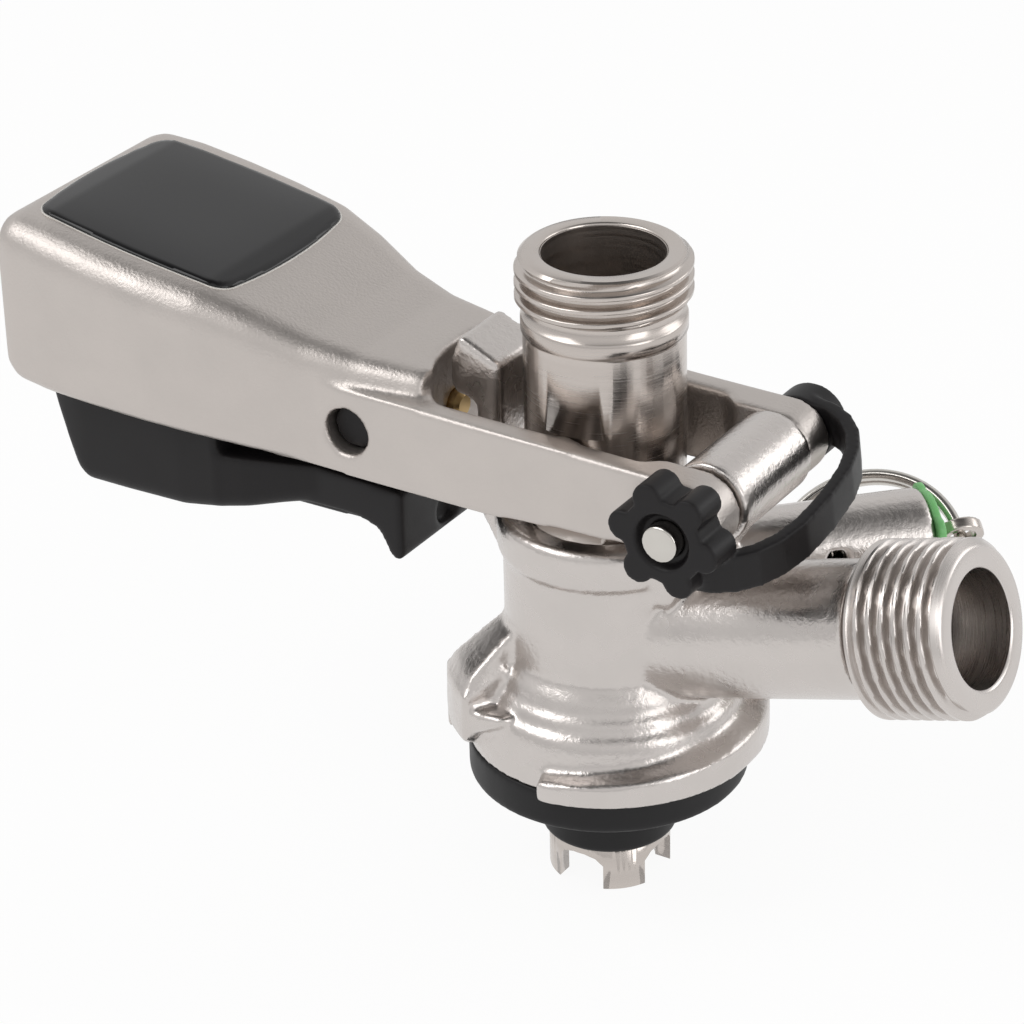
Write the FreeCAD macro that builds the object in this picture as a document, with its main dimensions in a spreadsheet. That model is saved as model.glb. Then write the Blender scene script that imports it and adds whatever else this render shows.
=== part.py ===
import FreeCAD, Part
import math
import os
import re
import Sketcher

# Keg coupler of the D type. Millimetres, +Z up along the probe axis.
# The origin lies on the probe axis in the plane where the keg seal meets the keg valve.
# The lever points to -X, its hinge pin lies along Y, and the gas inlet leaves towards +X.

DRIVING = {
    # probe, a turned tube
    "shaft_radius": 10.5,
    "probe_top": 76.0,
    "outlet_bore": 8.1,
    "outlet_bore_depth": 10.0,
    "ball_bore": 7.7,
    "ball_bore_depth": 21.0,
    "beer_bore": 6.2,
    "thread_radius": 11.455,
    "outlet_thread_low": 69.2,
    "thread_chamfer": 1.0,
    "thread_relief_radius": 9.9,
    "thread_relief_low": 67.8,
    "band_step": 0.25,
    "band_low": 65.4,
    "shaft_low": 19.0,
    "lower_tube_radius": 7.2,
    "tip_radius": 8.25,
    "tip_low": -15.0,
    "tip_notch_top": -9.9,
    "tip_notch_radius": 3.4,
    "lug_slot_depth": 1.55,
    "lug_slot_clearance": 0.4,
    "lug_slot_play": 0.3,
    "foot_seal_radius": 9.2,
    "foot_seal_low": -8.8,
    "foot_seal_height": 6.6,
    "foot_seal_grip": 1.2,
    "ball_radius": 5.4,
    "ball_seat_depth": 1.6,
    "ball_seat_gap": 0.12,
    "ball_cone_height": 3.2,
    "retainer_low": 62.8,
    "retainer_height": 3.0,
    "retainer_hub": 2.0,
    "retainer_rim": 1.4,
    "retainer_spoke": 1.6,
    # cast body
    "running_clearance": 0.06,
    "seal_height": 6.0,
    "seal_radius": 18.85,
    "seal_bore": 10.6,
    "seal_lip": 1.6,
    "seal_neck_radius": 13.4,
    "seal_neck_height": 3.2,
    "bell_radius": 18.9,
    "bell_rim_height": 2.6,
    "step_one_radius": 17.7,
    "step_one_height": 13.6,
    "step_two_radius": 16.4,
    "step_two_height": 15.5,
    "step_three_radius": 15.1,
    "step_three_height": 17.6,
    "neck_height": 19.6,
    "barrel_radius": 13.65,
    "collar_radius": 14.4,
    "collar_low": 33.7,
    "collar_top": 39.6,
    "collar_chamfer": 0.8,
    "chamber_radius": 11.9,
    "guide_low": 29.4,
    "cord_radius": 0.9,
    "lower_ring_height": 31.7,
    "upper_ring_height": 36.9,
    "ring_groove_play": 0.2,
    "cam_radius": 21.6,
    "cam_start": -86.0,
    "cam_sweep": 118.0,
    "cam_crest": 10.4,
    "cam_start_drop": 1.6,
    "cam_inner_rise": 2.6,
    "stop_sweep": 27.0,
    "stop_foot": 3.6,
    "stop_top": 19.4,
    # gas inlet, tilted upwards
    "inlet_height": 20.8,
    "inlet_tilt": 16.0,
    "inlet_length": 56.5,
    "inlet_neck_radius": 9.0,
    "inlet_thread_start": 42.6,
    "inlet_bore": 7.63,
    "inlet_bore_depth": 13.4,
    "valve_bore": 7.0,
    "valve_bore_depth": 20.0,
    "valve_flange": 1.6,
    "inlet_passage": 5.2,
    "inlet_face_land": 1.1,
    # relief valve boss, level
    "relief_height": 28.3,
    "relief_azimuth": 45.0,
    "relief_radius": 7.0,
    "relief_length": 43.6,
    "relief_bore": 4.8,
    "relief_floor": 21.6,
    "relief_passage": 1.8,
    "relief_vent_radius": 1.5,
    "relief_vent_reach": 29.6,
    "relief_vent_rise": 1.8,
    "relief_stem_radius": 1.5,
    "relief_eye_out": 5.2,
    "relief_eye_radius": 3.2,
    "relief_eye_hole": 2.05,
    "relief_eye_thickness": 1.8,
    "relief_eye_turn": -57.4,
    "relief_lift": 2.5,
    "relief_head_radius": 3.6,
    "relief_head_height": 1.6,
    "relief_disc_height": 1.4,
    "relief_cap_flange": 1.2,
    "relief_cap_radius": 7.6,
    "relief_cap_plug": 6.0,
    "spring_wire": 0.45,
    "spring_play": 0.3,
    "relief_spring_turns": 6.0,
    "ring_radius": 13.0,
    "ring_wire": 0.8,
    "ring_heading": 12.0,
    "ring_rise": -20.0,
    "ring_roll": 55.0,
    # hinge and lever
    "pivot_reach": 20.0,
    "pivot_height": 48.8,
    "hinge_boss_radius": 5.6,
    "hinge_boss_half": 8.7,
    "hinge_side_gap": 0.4,
    "pin_radius": 2.45,
    "pin_near": 21.0,
    "pin_far": 19.0,
    "arm_outer": 14.5,
    "arm_wall": 3.5,
    "arm_rise": 5.4,
    "arm_drop": 5.9,
    "arm_end_radius": 5.1,
    "lug_radius": 5.0,
    "crotch_reach": 23.0,
    "crotch_wall": 3.6,
    "neck_rise": 7.6,
    "neck_drop": 7.0,
    "head_end": 84.4,
    "head_half": 20.5,
    "head_step": 52.0,
    "head_step_rise": 16.4,
    "head_drop": 3.2,
    "head_slope": 9.3,
    "head_wall": 3.3,
    "head_round": 4.5,
    "bay_half": 17.0,
    "bay_front": 50.0,
    "trigger_bay_half": 9.7,
    "trunnion_reach": 30.9,
    "trunnion_drop": 0.2,
    "trunnion_radius": 3.2,
    "trunnion_recess": 2.3,
    "trunnion_clearance": 0.08,
    # badge plate in the head
    "badge_thickness": 1.2,
    "badge_pocket": 0.7,
    "badge_back": 79.6,
    "badge_front": 50.5,
    "badge_back_half": 13.8,
    "badge_front_half": 13.4,
    "badge_gap": 0.05,
    # trigger and catch
    "trigger_half": 9.1,
    "belly_half": 16.3,
    "belly_front": 51.4,
    "skirt_half": 11.4,
    "skirt_gap": 1.4,
    "trigger_wall": 2.2,
    "trigger_end": 79.0,
    "trigger_front": 24.8,
    "trigger_depth": 17.4,
    "tooth_depth": 19.0,
    "slot_depth": 14.6,
    "bolt_slot_half": 3.1,
    "bolt_radius": 2.0,
    "bolt_clearance": 0.06,
    "bolt_tip": 21.65,
    "bolt_shoulder": 34.4,
    "bolt_back": 49.0,
    "bolt_rod_radius": 1.1,
    "bolt_tail_half": 1.6,
    "bolt_arm": 12.0,
    "bolt_travel": 2.4,
    "bolt_rib_back": 46.5,
    "bolt_rib_front": 44.5,
    "bolt_rib_half": 2.4,
    "drive_pin_radius": 1.0,
    "drive_pin_play": 0.15,
    "latch_spring_turns": 5.0,
    # latch post on the collar
    "post_half": 5.1,
    "post_inner": 13.0,
    "post_outer": 16.7,
    "post_rise": 12.7,
    "post_top_drop": 2.9,
    "nose_reach": 20.6,
    "nose_rise": 6.8,
    "nose_under_rise": 3.6,
    "post_foot": 37.0,
    # keeper of the hinge pin
    "keeper_gap": 0.35,
    "star_radius": 7.8,
    "star_lobe": 2.1,
    "star_thickness": 5.4,
    "keeper_cap_radius": 4.8,
    "keeper_cap_thickness": 5.0,
    "strap_reach": 13.25,
    "strap_thickness": 1.8,
    "strap_height": 5.6,
    "strap_drop": 1.6,
    "strap_tilt": 11.5,
}

# Heights that follow the hinge, as formulas of the sizes above.
FOLLOWING = {
    "arm_top": "pivot_height + arm_rise",
    "arm_low": "pivot_height - arm_drop",
    "neck_top": "pivot_height + neck_rise",
    "neck_low": "pivot_height - neck_drop",
    "head_step_top": "pivot_height + head_step_rise",
    "head_low": "pivot_height - head_drop",
    "trunnion_height": "pivot_height - trunnion_drop",
    "trigger_low": "trunnion_height - trigger_depth",
    "trigger_tooth": "trunnion_height - tooth_depth",
    "trigger_slot_floor": "trunnion_height - slot_depth",
    "skirt_top": "neck_low - skirt_gap",
    "post_top": "pivot_height + post_rise",
    "nose_height": "pivot_height + nose_rise",
    "nose_under": "pivot_height + nose_under_rise",
}

doc = FreeCAD.newDocument("KegCoupler")
sheet = doc.addObject("Spreadsheet::Sheet", "Sizes")
cells = list(DRIVING.items()) + [(alias, "=" + formula) for alias, formula in FOLLOWING.items()]
for row, (alias, content) in enumerate(cells, start=1):
    sheet.set("A%d" % row, alias.replace("_", " "))
    sheet.set("B%d" % row, str(content))
    sheet.setAlias("B%d" % row, alias)
doc.recompute()


def bound(text):
    """Turn plain size names in a formula into references to the sheet."""
    def reference(word):
        known = word.group() in DRIVING or word.group() in FOLLOWING
        return "Sizes." + word.group() if known else word.group()
    return re.sub("[a-z_]+", reference, text)


def size(alias):
    return float(sheet.get(alias))


def new_body(label):
    body = doc.addObject("PartDesign::Body", label)
    body.Label = label
    return body


def origin_feature(body, role):
    return [item for item in body.Origin.OriginFeatures if item.Role == role][0]


def new_sketch(body, name, plane, lift=None, turn=None, side=None):
    """Start a sketch on an origin plane, lifted or slid by formulas and turned about an axis."""
    sketch = body.newObject("Sketcher::SketchObject", name)
    sketch.AttachmentSupport = (origin_feature(body, plane), [""])
    sketch.MapMode = "FlatFace"
    if turn is not None:
        axis, angle = turn
        sketch.AttachmentOffset = FreeCAD.Placement(FreeCAD.Vector(0, 0, 0), FreeCAD.Rotation(axis, 1))
        sketch.setExpression(".AttachmentOffset.Rotation.Angle", bound(angle))
    if lift is not None:
        sketch.setExpression(".AttachmentOffset.Base.z", bound(lift))
    if side is not None:
        sketch.setExpression(".AttachmentOffset.Base.x", bound(side[0]))
        sketch.setExpression(".AttachmentOffset.Base.y", bound(side[1]))
    return sketch


def place_point(sketch, geometry, vertex, formulas, guess):
    for kind, formula, start in zip(("DistanceX", "DistanceY"), formulas, guess):
        index = sketch.addConstraint(Sketcher.Constraint(kind, -1, 1, geometry, vertex, start))
        sketch.setExpression("Constraints[%d]" % index, bound(formula))


def outline(sketch, points):
    """Add a closed outline of straight edges whose corners follow formulas."""
    count = len(points)
    ring = [FreeCAD.Vector(math.cos(2 * math.pi * i / count), math.sin(2 * math.pi * i / count), 0)
            for i in range(count)]
    first = sketch.GeometryCount
    for i in range(count):
        sketch.addGeometry(Part.LineSegment(ring[i], ring[(i + 1) % count]), False)
    for i in range(count):
        following = first + (i + 1) % count
        sketch.addConstraint(Sketcher.Constraint("Coincident", first + i, 2, following, 1))
    for i, formulas in enumerate(points):
        place_point(sketch, first + i, 1, formulas, (ring[i].x, ring[i].y))
    return sketch


def circle(sketch, centre, radius):
    """Add a circle whose centre and radius follow formulas."""
    geometry = sketch.addGeometry(Part.Circle(FreeCAD.Vector(1, 1, 0), FreeCAD.Vector(0, 0, 1), 1), False)
    place_point(sketch, geometry, 3, centre, (1, 1))
    index = sketch.addConstraint(Sketcher.Constraint("Radius", geometry, 1))
    sketch.setExpression("Constraints[%d]" % index, bound(radius))
    return sketch


def turned(body, name, points, cut=False, axis="V_Axis", **placing):
    """Revolve an outline drawn in the XZ plane about one of its sketch axes."""
    sketch = outline(new_sketch(body, name + "Profile", placing.pop("plane", "XZ_Plane"), **placing), points)
    kind = "PartDesign::Groove" if cut else "PartDesign::Revolution"
    feature = body.newObject(kind, name)
    feature.Profile = sketch
    feature.ReferenceAxis = (sketch, [axis])
    feature.Angle = 360
    return feature


def padded(body, name, sketch, length, both=True, back=False):
    feature = body.newObject("PartDesign::Pad", name)
    feature.Profile = sketch
    feature.SideType = "Symmetric" if both else "One side"
    feature.Reversed = back
    feature.setExpression("Length", bound(length))
    return feature


def pocketed(body, name, sketch, length, both=True, back=False):
    """Cut a sketch from the body and make sure that it took something away."""
    doc.recompute()
    before = body.Shape.Volume
    feature = body.newObject("PartDesign::Pocket", name)
    feature.Profile = sketch
    feature.SideType = "Symmetric" if both else "One side"
    feature.Reversed = back
    feature.setExpression("Length", bound(length))
    doc.recompute()
    if not body.Shape.Volume < before - 1e-6:
        raise RuntimeError("pocket %s cuts nothing" % name)
    return feature


def around_z(body, name, features, count):
    pattern = body.newObject("PartDesign::PolarPattern", name)
    pattern.Originals = features
    pattern.Axis = (origin_feature(body, "Z_Axis"), [""])
    pattern.Angle = 360
    pattern.Occurrences = count
    body.Tip = pattern
    return pattern


def tilted(body, about, angle, base):
    """Give a body a placement whose base and angle follow formulas."""
    body.Placement = FreeCAD.Placement(FreeCAD.Vector(0, 0, 0), FreeCAD.Rotation(about, 1))
    body.setExpression(".Placement.Rotation.Angle", bound(angle))
    for letter, formula in zip("xyz", base):
        body.setExpression(".Placement.Base." + letter, bound(formula))


LOBE_TURN = 53
STAR_LOBES = 6
STAR_TURN = 52
STRAP_SQUARENESS = 0.8

X_AXIS = FreeCAD.Vector(1, 0, 0)
Y_AXIS = FreeCAD.Vector(0, 1, 0)
Z_AXIS = FreeCAD.Vector(0, 0, 1)


def make_body_casting():
    """Cast body: bell with bayonet cams, barrel, post, hinge boss and two side branches."""
    body = new_body("body_casting")
    turned(body, "Barrel", [
        ("0", "seal_height"),
        ("bell_radius", "seal_height"),
        ("bell_radius", "seal_height + bell_rim_height"),
        ("step_one_radius + 0.5", "step_one_height - 1.2"),
        ("step_one_radius", "step_one_height"),
        ("step_two_radius + 0.3", "step_one_height + 0.7"),
        ("step_two_radius", "step_two_height"),
        ("step_three_radius + 0.3", "step_two_height + 0.8"),
        ("step_three_radius", "step_three_height"),
        ("barrel_radius", "neck_height"),
        ("barrel_radius", "collar_low"),
        ("collar_radius", "collar_low + collar_chamfer"),
        ("collar_radius", "collar_top - collar_chamfer"),
        ("collar_radius - collar_chamfer", "collar_top"),
        ("0", "collar_top"),
    ])
    add_cams(body)
    turned(body, "InletNeck", [
        ("0", "0"),
        ("inlet_length", "0"),
        ("inlet_length", "thread_radius - inlet_face_land"),
        ("inlet_length - inlet_face_land", "thread_radius"),
        ("inlet_thread_start", "thread_radius"),
        ("inlet_thread_start - inlet_face_land", "inlet_neck_radius"),
        ("0", "inlet_neck_radius"),
    ], axis="H_Axis", turn=(Z_AXIS, "inlet_tilt"), side=("0", "inlet_height"))
    turned(body, "ReliefBoss", [
        ("0", "0"),
        ("relief_length", "0"),
        ("relief_length", "relief_radius - 0.5"),
        ("relief_length - 0.5", "relief_radius"),
        ("0", "relief_radius"),
    ], axis="H_Axis", plane="XY_Plane", lift="relief_height", turn=(Z_AXIS, "relief_azimuth"))
    hinge = circle(new_sketch(body, "HingeBossProfile", "XZ_Plane"), ("pivot_reach", "pivot_height"),
                   "hinge_boss_radius")
    padded(body, "HingeBoss", hinge, "2 * hinge_boss_half")
    web = outline(new_sketch(body, "HingeWebProfile", "XZ_Plane"), [
        ("shaft_radius + 0.7", "guide_low + 2"),
        ("barrel_radius", "guide_low + 2"),
        ("pivot_reach + 2", "pivot_height - hinge_boss_radius + 1.2"),
        ("pivot_reach + 4", "pivot_height"),
        ("pivot_reach - 4", "pivot_height + 3"),
        ("shaft_radius + 2.6", "collar_top + 3.4"),
        ("shaft_radius + 0.7", "collar_top + 1.2"),
    ])
    padded(body, "HingeWeb", web, "2 * hinge_boss_half - 1.6")
    post = outline(new_sketch(body, "PostProfile", "XZ_Plane"), [
        ("-post_inner", "post_foot - 1"),
        ("-post_inner", "post_top - post_top_drop"),
        ("0.35 - nose_reach + 1.2", "post_top"),
        ("0.5 - nose_reach", "nose_height + 3.2"),
        ("-nose_reach", "nose_height + 1"),
        ("-nose_reach", "nose_height - 1.2"),
        ("0.9 - nose_reach", "nose_under + 0.7"),
        ("0.5 - post_outer", "nose_under"),
        ("-post_outer", "nose_under - 0.5"),
        ("-post_outer", "post_foot"),
        ("-barrel_radius + 0.3", "post_foot - 6"),
        ("-post_inner + 0.6", "post_foot - 6"),
    ])
    padded(body, "LatchPost", post, "2 * post_half")
    cut_body_bores(body)
    return body


def add_cams(body):
    """Two bayonet cams below the bell, each with a sloping top and a stop at its thick end."""
    stations = 5
    sketches = []
    for i in range(stations):
        share = i / (stations - 1)
        heading = "cam_start + cam_sweep * %g" % share
        rise = "cam_crest - cam_start_drop * %g" % (1 - share) ** 2
        inner = "bell_radius - 2"
        sketch = new_sketch(body, "CamSection%d" % i, "XZ_Plane", turn=(Y_AXIS, heading))
        sketches.append(outline(sketch, [
            (inner, "seal_height"),
            ("cam_radius", "seal_height"),
            ("cam_radius", rise),
            (inner, rise + " + cam_inner_rise * %g" % (0.3 + 0.7 * share)),
        ]))
    cam = body.newObject("PartDesign::AdditiveLoft", "Cam")
    cam.Profile = sketches[0]
    cam.Sections = sketches[1:]
    end = "cam_start + cam_sweep"
    rim = [("cam_radius * cos(%s + stop_sweep * %g)" % (end, share),
            "cam_radius * sin(%s + stop_sweep * %g)" % (end, share)) for share in (-0.1, 0.25, 0.6, 1)]
    root = [("step_three_radius * cos(%s + stop_sweep * %g)" % (end, share),
             "step_three_radius * sin(%s + stop_sweep * %g)" % (end, share)) for share in (1, 0.5, -0.1)]
    stop = outline(new_sketch(body, "StopProfile", "XY_Plane", lift="seal_height + stop_foot"), rim + root)
    block = padded(body, "Stop", stop, "stop_top - seal_height - stop_foot", both=False)
    around_z(body, "BothCams", [cam, block], 2)


def cut_body_bores(body):
    """Probe guide with its two ring grooves, gas chamber, inlet, relief valve and pin bores."""
    guide = "shaft_radius + running_clearance"
    groove = "shaft_radius + 0.5 * running_clearance + 2 * cord_radius"
    half = "(cord_radius + 0.5 * ring_groove_play)"
    rings = []
    for height in ("lower_ring_height", "upper_ring_height"):
        rings += [(guide, "%s - %s" % (height, half)), (groove, "%s - %s" % (height, half)),
                  (groove, "%s + %s" % (height, half)), (guide, "%s + %s" % (height, half))]
    turned(body, "ProbeBore", [
        ("0", "seal_height - 1"),
        ("seal_neck_radius", "seal_height - 1"),
        ("seal_neck_radius", "seal_height + seal_neck_height"),
        ("chamber_radius", "seal_height + seal_neck_height"),
        ("chamber_radius", "guide_low - 0.8"),
        (guide, "guide_low"),
    ] + rings + [
        (guide, "collar_top + 20"),
        ("0", "collar_top + 20"),
    ], cut=True)
    seat = "inlet_length - valve_bore_depth"
    turned(body, "InletBore", [
        ("chamber_radius - 3", "0"),
        ("inlet_length + 1", "0"),
        ("inlet_length + 1", "inlet_bore"),
        ("inlet_length - inlet_bore_depth", "inlet_bore"),
        ("inlet_length - inlet_bore_depth", "valve_bore"),
        (seat, "valve_bore"),
        (seat, "inlet_passage"),
        ("chamber_radius - 3", "inlet_passage"),
    ], cut=True, axis="H_Axis", turn=(Z_AXIS, "inlet_tilt"), side=("0", "inlet_height"))
    turned(body, "ReliefBore", [
        ("chamber_radius - 2", "0"),
        ("relief_length + 1", "0"),
        ("relief_length + 1", "relief_bore"),
        ("relief_floor", "relief_bore"),
        ("relief_floor", "relief_passage"),
        ("chamber_radius - 2", "relief_passage"),
    ], cut=True, axis="H_Axis", plane="XY_Plane", lift="relief_height", turn=(Z_AXIS, "relief_azimuth"))
    vent = circle(new_sketch(body, "VentProfile", "XZ_Plane", turn=(Y_AXIS, "relief_azimuth")),
                  ("relief_vent_reach", "relief_height + relief_vent_rise"), "relief_vent_radius")
    pocketed(body, "Vent", vent, "2 * relief_radius + 2")
    pin = circle(new_sketch(body, "PinBoreProfile", "XZ_Plane"), ("pivot_reach", "pivot_height"),
                 "pin_radius")
    pocketed(body, "PinBore", pin, "2 * hinge_boss_half + 2")


def make_body_seal():
    body = new_body("body_seal")
    turned(body, "Seal", [
        ("seal_bore", "0.5"),
        ("seal_bore + 0.5", "0"),
        ("seal_radius - seal_lip", "0"),
        ("seal_radius", "0.9"),
        ("seal_radius", "seal_height"),
        ("seal_neck_radius", "seal_height"),
        ("seal_neck_radius", "seal_height + seal_neck_height"),
        ("seal_bore", "seal_height + seal_neck_height"),
    ])
    return body


def make_cord_ring(label, height):
    """O-ring in a groove of the probe guide, just clear of the sliding shaft."""
    ring = doc.addObject("Part::Torus", label)
    ring.Label = label
    ring.setExpression("Radius1", bound("shaft_radius + 0.5 * running_clearance + cord_radius"))
    ring.setExpression("Radius2", bound("cord_radius"))
    ring.setExpression(".Placement.Base.z", bound(height))
    return ring


def along_inlet(body):
    """Stand a piece drawn along +Z on the tilted axis of the gas inlet."""
    tilted(body, Y_AXIS, "90 - inlet_tilt", ("0", "0", "inlet_height"))


def make_inlet_check_valve():
    """Duckbill: a flanged rubber cup that narrows to two flat lips."""
    body = new_body("inlet_check_valve")
    seat = "inlet_length - valve_bore_depth"
    turned(body, "Cup", [
        ("inlet_passage - 1.6", seat),
        ("valve_bore", seat),
        ("valve_bore", seat + " + valve_flange"),
        ("inlet_passage - 1.6", seat + " + valve_flange"),
    ])
    base = outline(new_sketch(body, "BillBase", "XY_Plane", lift=seat + " + 0.2"), [
        ("-3.4", "-3.4"), ("3.4", "-3.4"), ("3.4", "3.4"), ("-3.4", "3.4")])
    lips = outline(new_sketch(body, "BillLips", "XY_Plane", lift=seat + " - 7"), [
        ("-0.8", "-3.4"), ("0.8", "-3.4"), ("0.8", "3.4"), ("-0.8", "3.4")])
    bill = body.newObject("PartDesign::AdditiveLoft", "Bill")
    bill.Profile = base
    bill.Sections = [lips]
    hollow_base = outline(new_sketch(body, "HollowBase", "XY_Plane", lift=seat + " + 2"), [
        ("-2.5", "-2.5"), ("2.5", "-2.5"), ("2.5", "2.5"), ("-2.5", "2.5")])
    hollow_end = outline(new_sketch(body, "HollowEnd", "XY_Plane", lift=seat + " - 6"), [
        ("-0.15", "-2.5"), ("0.15", "-2.5"), ("0.15", "2.5"), ("-0.15", "2.5")])
    hollow = body.newObject("PartDesign::SubtractiveLoft", "Hollow")
    hollow.Profile = hollow_base
    hollow.Sections = [hollow_end]
    along_inlet(body)
    return body


def make_inlet_valve_sleeve():
    body = new_body("inlet_valve_sleeve")
    seat = "inlet_length - valve_bore_depth + valve_flange"
    top = "inlet_length - inlet_bore_depth"
    turned(body, "Sleeve", [
        ("inlet_passage", seat),
        ("valve_bore", seat),
        ("valve_bore", top),
        ("inlet_passage + 1.2", top),
        ("inlet_passage", top + " - 1.2"),
    ])
    along_inlet(body)
    return body


def along_relief(body, turn=0):
    """Stand a piece drawn along +Z on the level axis of the relief valve boss, turned about that axis."""
    body.Placement = FreeCAD.Placement(FreeCAD.Vector(0, 0, size("relief_height")),
                                       FreeCAD.Rotation(Z_AXIS, size("relief_azimuth"))
                                       * FreeCAD.Rotation(Y_AXIS, 90) * FreeCAD.Rotation(Z_AXIS, turn))
    body.setExpression(".Placement.Base.z", bound("relief_height"))


def make_relief_cap():
    """Green lobed cap whose plug guides the stem and closes the boss."""
    body = new_body("relief_cap")
    turned(body, "Plug", [
        ("relief_stem_radius + 0.1", "relief_length - relief_cap_plug"),
        ("relief_bore", "relief_length - relief_cap_plug"),
        ("relief_bore", "relief_length"),
        ("relief_radius - 0.4", "relief_length"),
        ("relief_radius - 0.4", "relief_length + relief_cap_flange"),
        ("relief_stem_radius + 0.1", "relief_length + relief_cap_flange"),
    ])
    reach = "(relief_cap_radius - 1.9)"
    for i in range(4):
        heading = LOBE_TURN + 90 * i
        lobe = circle(new_sketch(body, "LobeProfile%d" % i, "XY_Plane", lift="relief_length"),
                      ("%s * cos(%d)" % (reach, heading), "%s * sin(%d)" % (reach, heading)), "1.9")
        padded(body, "Lobe%d" % i, lobe, "relief_cap_flange", both=False)
    along_relief(body)
    return body


def make_relief_stem():
    """Stem with a valve head inside and an eye for the pull ring outside."""
    body = new_body("relief_stem")
    floor = "relief_floor + relief_disc_height"
    turned(body, "Stem", [
        ("0", floor),
        ("relief_head_radius", floor),
        ("relief_head_radius", floor + " + relief_head_height"),
        ("relief_stem_radius", floor + " + relief_head_height"),
        ("relief_stem_radius", "relief_length + relief_eye_out - relief_eye_hole - 0.5"),
        ("0", "relief_length + relief_eye_out - relief_eye_hole - 0.5"),
    ])
    eye = circle(new_sketch(body, "EyeProfile", "YZ_Plane"), ("0", "relief_length + relief_eye_out"),
                 "relief_eye_radius")
    padded(body, "Eye", eye, "relief_eye_thickness")
    hole = circle(new_sketch(body, "EyeHoleProfile", "YZ_Plane"), ("0", "relief_length + relief_eye_out"),
                  "relief_eye_hole")
    pocketed(body, "EyeHole", hole, "2 * relief_eye_radius")
    along_relief(body, size("relief_eye_turn"))
    return body


def make_relief_seat_seal():
    body = new_body("relief_seat_seal")
    floor = "relief_floor"
    turned(body, "Disc", [
        ("0", floor),
        ("relief_head_radius", floor),
        ("relief_head_radius", floor + " + relief_disc_height"),
        ("0", floor + " + relief_disc_height"),
    ])
    along_relief(body)
    return body


def coil(label, radius, wire, length, turns):
    """Coil spring that climbs along +Z from the origin, swept from a round wire."""
    helix = Part.makeHelix(length / turns, length, radius)
    section = Part.Wire(Part.makeCircle(wire, FreeCAD.Vector(radius, 0, 0), Y_AXIS))
    spring = doc.addObject("Part::Feature", label)
    spring.Label = label
    spring.Shape = Part.Wire(helix.Edges).makePipeShell([section], True, True)
    return spring


def make_relief_spring():
    """Spring between the cap's plug and the valve head, drawn at the length it has with the valve open."""
    low = (size("relief_floor") + size("relief_disc_height")
           + size("relief_head_height") + size("relief_lift") + size("spring_wire"))
    high = size("relief_length") - size("relief_cap_plug") - size("spring_wire")
    radius = size("relief_stem_radius") + size("spring_wire") + size("spring_play")
    spring = coil("relief_spring", radius, size("spring_wire"), high - low, size("relief_spring_turns"))
    turn = FreeCAD.Rotation(Z_AXIS, size("relief_azimuth")) * FreeCAD.Rotation(Y_AXIS, 90)
    foot = turn.multVec(Z_AXIS * low)
    spring.Placement = FreeCAD.Placement(foot + Z_AXIS * size("relief_height"), turn)
    return spring


def ring_frame():
    """Where the pull ring hangs from the stem's eye: centre, axis of the ring and axis of its swing."""
    heading = math.radians(size("relief_azimuth"))
    outwards = FreeCAD.Vector(math.cos(heading), math.sin(heading), 0)
    across = FreeCAD.Vector(-math.sin(heading), math.cos(heading), 0)
    eye = outwards * (size("relief_length") + size("relief_eye_out"))
    eye.z = size("relief_height")
    rise = math.radians(size("ring_rise"))
    swing = math.radians(size("ring_heading"))
    radial = (outwards * (-math.cos(rise) * math.cos(swing)) + across * (math.cos(rise) * math.sin(swing))
              + Z_AXIS * math.sin(rise))
    level = radial.cross(Z_AXIS).normalize()
    upright = level.cross(radial)
    roll = math.radians(size("ring_roll"))
    tangent = upright * math.cos(roll) + level * math.sin(roll)
    return eye, radial, tangent


def make_pull_ring():
    """Split ring of two close coils through the eye of the stem."""
    eye, radial, tangent = ring_frame()
    ring = doc.addObject("Part::Feature", "pull_ring")
    ring.Label = "pull_ring"
    normal = radial.cross(tangent).normalize()
    centre = eye + radial * size("ring_radius")
    coils = [Part.makeTorus(size("ring_radius"), size("ring_wire")) for side in (-1, 1)]
    for side, shape in zip((-1, 1), coils):
        shape.translate(Z_AXIS * (side * 0.98 * size("ring_wire")))
    ring.Shape = coils[0].fuse(coils[1])
    ring.Placement = FreeCAD.Placement(centre, FreeCAD.Rotation(Z_AXIS, normal))
    return ring


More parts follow.
